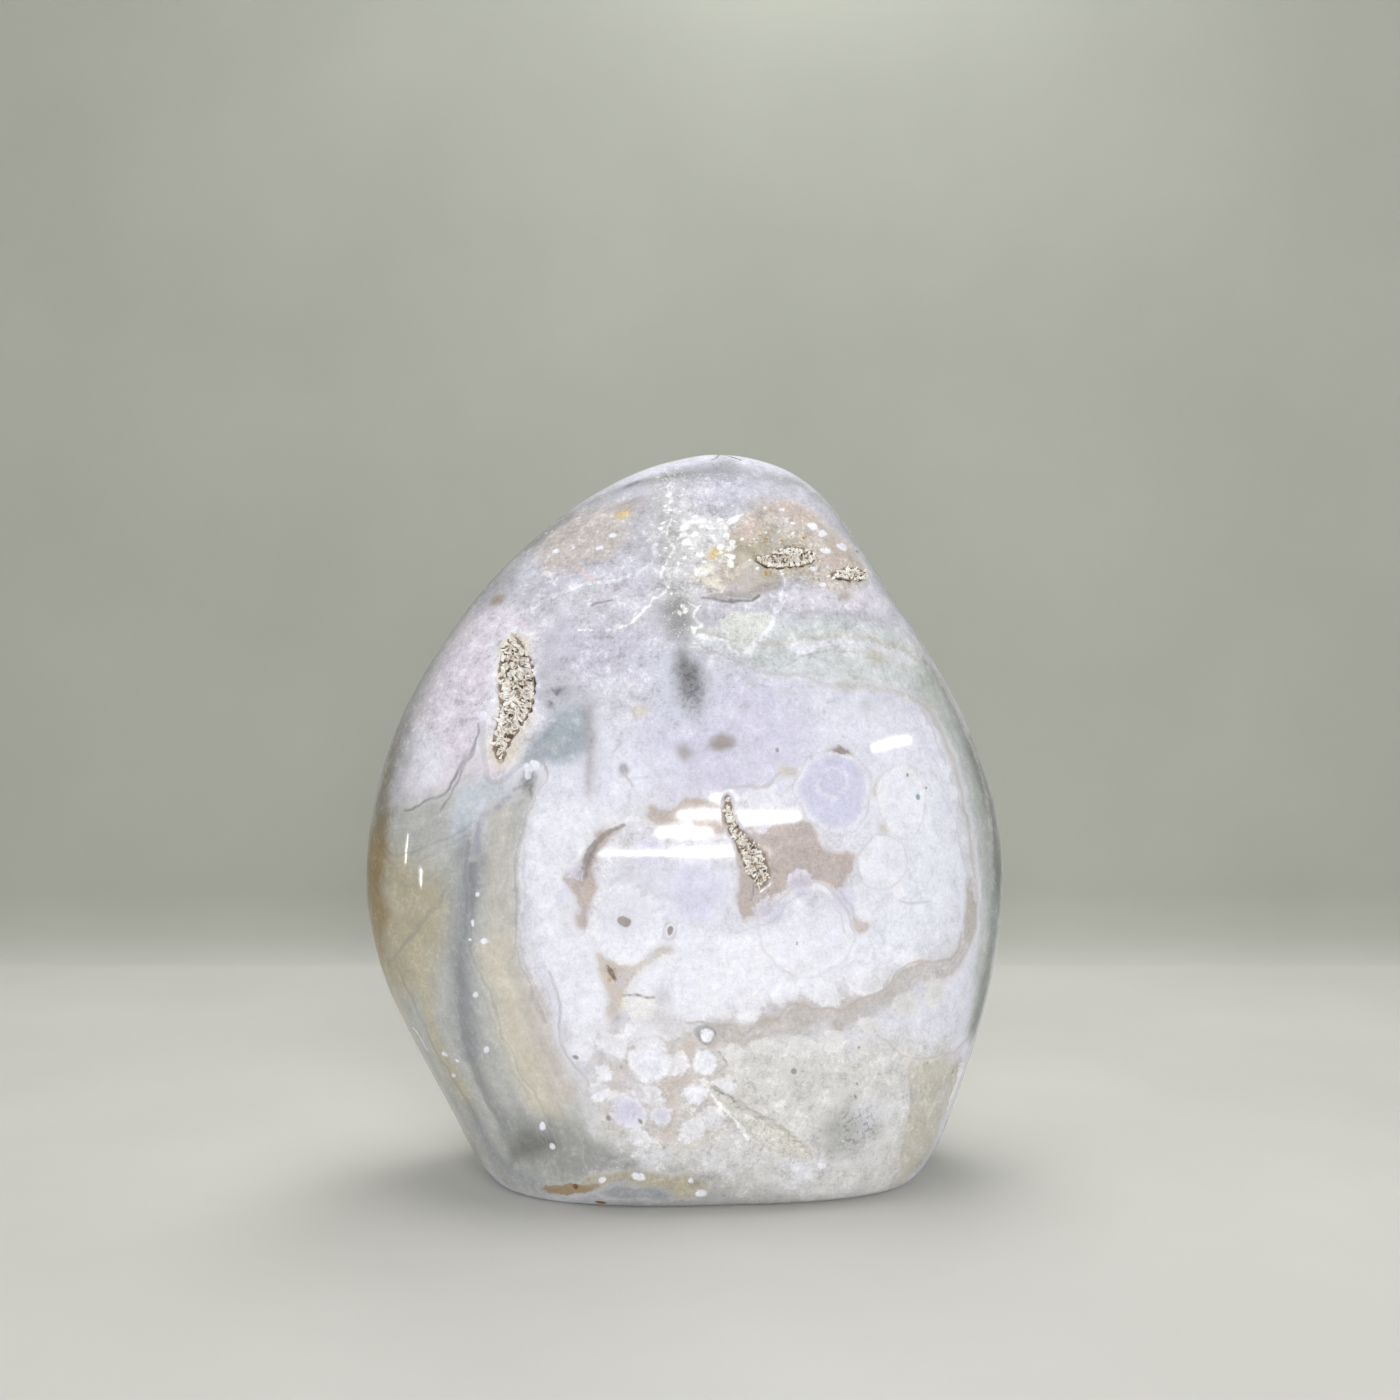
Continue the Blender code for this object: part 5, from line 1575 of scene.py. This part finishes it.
def lining_point(line, down, across, depth):
    """A place in a hollow's lining: shares along its line and across it, and how far in it lies."""
    position = down * (len(line) - 1)
    index = min(int(position), len(line) - 2)
    (start, _, width), (end, outward, next_width) = line[index], line[index + 1]
    run = end - start
    side = run.cross(outward).normalized()
    part = position - index
    reach = max(width * (1 - part) + next_width * part - depth, LEAST_LINING_REACH)
    angle = (across * 2 - 1) * LINING_ARC
    return start + run * part + (side * math.sin(angle) - outward * math.cos(angle)) * reach


def lining_mesh(name, line):
    """A thin closed shell that lines a hollow, open towards the eye, its inner face first."""
    sizes = settings("druse")
    sink, thickness = sizes.sink / MM, sizes.lining / MM
    rows, columns = len(line) * 2, LINING_COLUMNS
    ring = columns + 1
    count = (rows + 1) * ring
    corners = [
        lining_point(line, row / rows, column / columns, depth) * MM
        for depth in (sink + thickness, sink) for row in range(rows + 1) for column in range(ring)
    ]
    quads = []
    for row in range(rows):
        for column in range(columns):
            corner = row * ring + column
            inner = (corner, corner + 1, corner + ring + 1, corner + ring)
            quads += [inner, tuple(index + count for index in reversed(inner))]
    edge = [*range(columns), *range(columns, count - 1, ring)]
    edge += [*range(count - 1, count - ring, -1), *range(count - ring, 0, -ring)]
    quads += [(a, b, b + count, a + count) for a, b in zip(edge, edge[1:] + edge[:1])]
    triangles = [part for a, b, c, d in quads for part in ((a, b, c), (a, c, d))]
    mesh = bpy.data.meshes.new(name)
    mesh.from_pydata(corners, [], triangles)
    bm = bmesh.new()
    bm.from_mesh(mesh)
    bmesh.ops.recalc_face_normals(bm, faces=bm.faces)
    bm.to_mesh(mesh)
    bm.free()
    grows = np.zeros(count * 2)
    grows[:count] = 1.0
    store(mesh, "grows", "FLOAT", grows)
    return mesh


# The quartz points: their sides, how far they lean and turn in radians, and how their sizes vary.
SIDES = 6
LEAN = 0.75
FULL_TURN = 6.28
SIZE_SPREAD = (0.55, 1.45)
SIZE_SEED = 3
PICK_SEED = 11
FIRST_SEED = 4


def points_tree(bed, crystal):
    """The node tree that grows quartz points on a lining."""
    tree = bpy.data.node_groups.new("grow_points", "GeometryNodeTree")
    inputs = {}
    tree.interface.new_socket("Lining", in_out="INPUT", socket_type="NodeSocketGeometry")
    for name, kind, default in (
        ("Crowding", "NodeSocketFloat", 1e6), ("Point width", "NodeSocketFloat", 0.0005),
        ("Point length", "NodeSocketFloat", 0.0008), ("Seed", "NodeSocketInt", 0),
    ):
        inputs[name] = tree.interface.new_socket(name, in_out="INPUT", socket_type=kind)
        inputs[name].default_value = default
    tree.interface.new_socket("Druse", in_out="OUTPUT", socket_type="NodeSocketGeometry")

    def add(kind, options, **sockets):
        """A node; i and a number stand for a socket's index, and an underscore for a space."""
        node = tree.nodes.new(kind)
        for name, value in options.items():
            setattr(node, name, value)
        for name, value in sockets.items():
            key = int(name[1:]) if name[1:].isdigit() else name.replace("_", " ")
            if isinstance(value, bpy.types.NodeSocket):
                tree.links.new(value, node.inputs[key])
            else:
                node.inputs[key].default_value = value
        return node.outputs

    def times(first, second):
        return add("ShaderNodeMath", {"operation": "MULTIPLY"}, i0=first, i1=second)[0]

    def at_random(low, high, seed):
        return add("FunctionNodeRandomValue", {"data_type": "FLOAT"}, i2=low, i3=high, Seed=seed)[1]

    def clad(geometry, material):
        return add("GeometryNodeSetMaterial", {}, Geometry=geometry, Material=material)[0]

    entry = add("NodeGroupInput", {})
    lining, seed = entry["Lining"], entry["Seed"]
    grows = add("GeometryNodeInputNamedAttribute", {"data_type": "FLOAT"}, Name="grows")["Attribute"]
    above = {"data_type": "FLOAT", "operation": "GREATER_THAN"}
    inner = add("FunctionNodeCompare", above, i0=grows, i1=0.9)["Result"]
    scatter = add(
        "GeometryNodeDistributePointsOnFaces", {"distribute_method": "RANDOM"},
        Mesh=lining, Selection=inner, Density=entry["Crowding"], Seed=seed,
    )
    fan = {"fill_type": "TRIANGLE_FAN"}
    point = add("GeometryNodeMeshCone", fan, Vertices=SIDES, Radius_Bottom=0.5, Depth=1.0)["Mesh"]
    lean = add(
        "FunctionNodeRandomValue", {"data_type": "FLOAT_VECTOR"},
        i0=(-LEAN, -LEAN, 0.0), i1=(LEAN, LEAN, FULL_TURN), Seed=seed,
    )[0]
    leaning = add(
        "FunctionNodeRotateRotation", {"rotation_space": "LOCAL"},
        Rotation=scatter["Rotation"], Rotate_By=lean,
    )[0]
    size = at_random(*SIZE_SPREAD, SIZE_SEED)
    wide = times(size, entry["Point width"])
    tall = times(size, entry["Point length"])
    scale = add("ShaderNodeCombineXYZ", {}, X=wide, Y=wide, Z=tall)[0]
    grown = add(
        "GeometryNodeInstanceOnPoints", {},
        Points=scatter["Points"], Instance=point, Rotation=leaning, Scale=scale,
    )[0]
    picked = add(
        "GeometryNodeStoreNamedAttribute", {"data_type": "FLOAT", "domain": "INSTANCE"},
        Geometry=grown, Name="point_pick", Value=at_random(0.0, 1.0, PICK_SEED),
    )[0]
    solid = add("GeometryNodeRealizeInstances", {}, Geometry=picked)[0]
    both = tree.nodes.new("GeometryNodeJoinGeometry")
    for geometry in (clad(solid, crystal), clad(lining, bed)):
        tree.links.new(geometry, both.inputs[0])
    leave = tree.nodes.new("NodeGroupOutput")
    tree.links.new(both.outputs[0], leave.inputs[0])
    return tree, {name: socket.identifier for name, socket in inputs.items()}


def make_druses(lines):
    sizes = settings("druse")
    bed, crystal = druse_bed(), quartz_point()
    tree, identifiers = points_tree(bed, crystal)
    for seed, (name, fineness) in enumerate(DRUSES.items()):
        helper = new_object("lining_" + name, lining_mesh("lining_" + name, lines[name]), [bed])
        grow = helper.modifiers.new("points", "NODES")
        grow.node_group = tree
        for label, value in (
            ("Crowding", sizes.crowding / fineness**2 * 1e6), ("Seed", seed + FIRST_SEED),
            ("Point width", sizes.point_width * fineness), ("Point length", sizes.point_length * fineness),
        ):
            grow[identifiers[label]] = value
        graph = bpy.context.evaluated_depsgraph_get()
        mesh = bpy.data.meshes.new_from_object(helper.evaluated_get(graph))
        bpy.data.objects.remove(helper)
        mesh.name = "druse_" + name + "_dressed"
        mesh.shade_flat()
        druse = new_object(mesh.name, mesh, [])
        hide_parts("druse_" + name)
        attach(druse, "root")
        print(druse.name, len(mesh.polygons), "faces")


def make_camera():
    data = bpy.data.cameras.new("camera")
    data.sensor_width = SENSOR
    data.lens = FOCAL / FRAME_SIDE * SENSOR
    data.clip_start = 0.01
    camera = bpy.data.objects.new("camera", data)
    camera.location = EYE * MM
    camera.rotation_euler = (math.radians(90), 0, 0)
    bpy.context.scene.collection.objects.link(camera)
    bpy.context.scene.camera = camera


def sweep_finish():
    """The floor's colour, passing softly into the wall's, with a faint mottle."""
    sizes = settings("stage")
    finish = Finish("sweep")
    place = finish.object_place()
    depth = finish.add("ShaderNodeSeparateXYZ", {}, {0: place}, "Y")
    mottle = finish.noise(place, 60.0, 5.0) * 0.10 + 1.0
    upright = depth.smooth(sizes.wall_distance - 1.4 * sizes.cove, sizes.wall_distance)
    colour = finish.mix(upright, (*sizes.floor, 1.0), (*sizes.wall, 1.0))
    finish.set(Base_Color=finish.shaded(colour, mottle), Roughness=0.55)
    return finish.material


SWEEP_REACH = 1.2
COVE_STEPS = 8


def make_sweep():
    """The floor, a cove and the wall in one sheet."""
    back, radius = settings("stage").wall_distance, settings("stage").cove
    profile = [(-SWEEP_REACH, 0.0)]
    for step in range(COVE_STEPS + 1):
        turn = math.radians(90 * step / COVE_STEPS)
        profile.append((back - radius + radius * math.sin(turn), radius - radius * math.cos(turn)))
    profile.append((back, SWEEP_REACH))
    bm = bmesh.new()
    rows = [[bm.verts.new((side, *place)) for side in (-SWEEP_REACH, SWEEP_REACH)] for place in profile]
    for (left, right), (next_left, next_right) in zip(rows, rows[1:]):
        bm.faces.new((left, right, next_right, next_left))
    mesh = bpy.data.meshes.new("sweep")
    bm.to_mesh(mesh)
    bm.free()
    mesh.shade_smooth()
    new_object("sweep", mesh, [sweep_finish()])


def area_light(name, place, target, width, height, energy):
    data = bpy.data.lights.new(name, "AREA")
    data.shape = "RECTANGLE"
    data.size = width
    data.size_y = height
    data.energy = energy
    light = bpy.data.objects.new(name, data)
    light.location = place
    light.rotation_euler = (Vector(target) - Vector(place)).to_track_quat("-Z", "Y").to_euler()
    bpy.context.scene.collection.objects.link(light)
    return light


def mirrored(front, pixel, distance):
    """The stone's point under a pixel, and where a lamp stands whose reflection is seen there."""
    point, normal, _ = front.hit(pixel)
    ray = (point - EYE).normalized()
    away = ray - 2 * ray.dot(normal) * normal
    return point * MM, (point + away * distance) * MM


# What shines off the polish: the pixel, the lamp's distance, width and height in mm, and its power.
HIGHLIGHTS = (
    ("strip", (655, 853), 900, 520, 5, 0.35),
    ("strip_end", (715, 849), 880, 150, 9, 0.2),
    ("oval", (770, 820), 700, 150, 14, 0.25),
    ("slat_top", (722, 800), 700, 40, 10, 0.06),
    ("slat_middle", (705, 812), 700, 70, 10, 0.10),
    ("slat_low", (680, 828), 700, 90, 10, 0.12),
    ("left_glint", (404, 855), 600, 6, 60, 0.05),
    ("left_glint_low", (421, 873), 600, 8, 40, 0.05),
    ("right_glint", (893, 746), 600, 200, 14, 0.14),
)
# The soft boxes, in metres: place, side and the setting of their power. They face the stone's middle.
BOXES = (
    ("front_box", (0.05, -0.72, 0.24), 0.4, "key"),
    ("top_box", (0.0, 0.05, 0.75), 0.45, "top"),
    ("left_fill", (-0.6, -0.35, 0.35), 0.45, "fill"),
    ("back_fill", (0.03, 0.15, 0.33), 0.14, "back_fill"),
)
MIDDLE = (0.0, 0.0, 0.05)
DAYLIGHT_COLOUR = (0.95, 0.98, 1.0, 1.0)
# What the stone's operator leaves for the others.
SHARED = {}


class AgateStone(bpy.types.Operator):
    """Makes the polished stone with its pattern and hollows"""

    bl_idname = "agate.make_stone"
    bl_label = "Make stone"

    def execute(self, context):
        noise.seed_set(NOISE_SEED)
        stone, SHARED["front"], SHARED["lines"] = make_stone()
        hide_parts("stone")
        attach(stone, "root")
        return {"FINISHED"}


class AgateDruses(bpy.types.Operator):
    """Lines the four hollows with quartz points"""

    bl_idname = "agate.make_druses"
    bl_label = "Make druses"

    def execute(self, context):
        if "lines" not in SHARED:
            raise RuntimeError("make the stone before its druses")
        make_druses(SHARED["lines"])
        return {"FINISHED"}


class AgateStage(bpy.types.Operator):
    """Sets the floor, the wall, the lights and the camera"""

    bl_idname = "agate.set_stage"
    bl_label = "Set stage"

    def execute(self, context):
        if "front" not in SHARED:
            raise RuntimeError("make the stone before its stage")
        sizes = settings("stage")
        make_sweep()
        world = bpy.data.worlds.new("daylight")
        world.use_nodes = True
        background = world.node_tree.nodes["Background"]
        background.inputs["Color"].default_value = DAYLIGHT_COLOUR
        background.inputs["Strength"].default_value = sizes.daylight
        context.scene.world = world
        for name, place, side, setting in BOXES:
            box = area_light(name, place, MIDDLE, side, side, getattr(sizes, setting))
            box.visible_glossy = False
        for name, pixel, away, width, height, energy in HIGHLIGHTS:
            point, place = mirrored(SHARED["front"], pixel, away)
            area_light(name, place, point, width * MM, height * MM, energy)
        make_camera()
        context.scene.view_settings.view_transform = "Standard"
        return {"FINISHED"}


class AgatePanel(bpy.types.Panel):
    """Lists the steps"""

    bl_idname = "VIEW3D_PT_agate"
    bl_label = "Flower agate"
    bl_space_type = "VIEW_3D"
    bl_region_type = "UI"
    bl_category = "Agate"

    def draw(self, context):
        for operator in (AgateStone, AgateDruses, AgateStage):
            self.layout.operator(operator.bl_idname)
        for group in ("stone", "druse", "stage", "colours"):
            values = settings(group)
            box = self.layout.box()
            for name in values.bl_rna.properties.keys():
                if name not in ("rna_type", "name"):
                    box.prop(values, name)


GROUPS = {"colours": AgateColours, "stone": StoneSizes, "druse": DruseSizes, "stage": StageSizes}
CLASSES = (*GROUPS.values(), AgateStone, AgateDruses, AgateStage, AgatePanel)


def register():
    for kind in CLASSES:
        bpy.utils.register_class(kind)
    for name, kind in GROUPS.items():
        setattr(bpy.types.Scene, "agate_" + name, PointerProperty(type=kind))


def unregister():
    for name in GROUPS:
        delattr(bpy.types.Scene, "agate_" + name)
    for kind in reversed(CLASSES):
        bpy.utils.unregister_class(kind)


def main():
    register()
    bpy.ops.agate.make_stone()
    bpy.ops.agate.make_druses()
    bpy.ops.agate.set_stage()


if __name__ == "__main__":
    main()
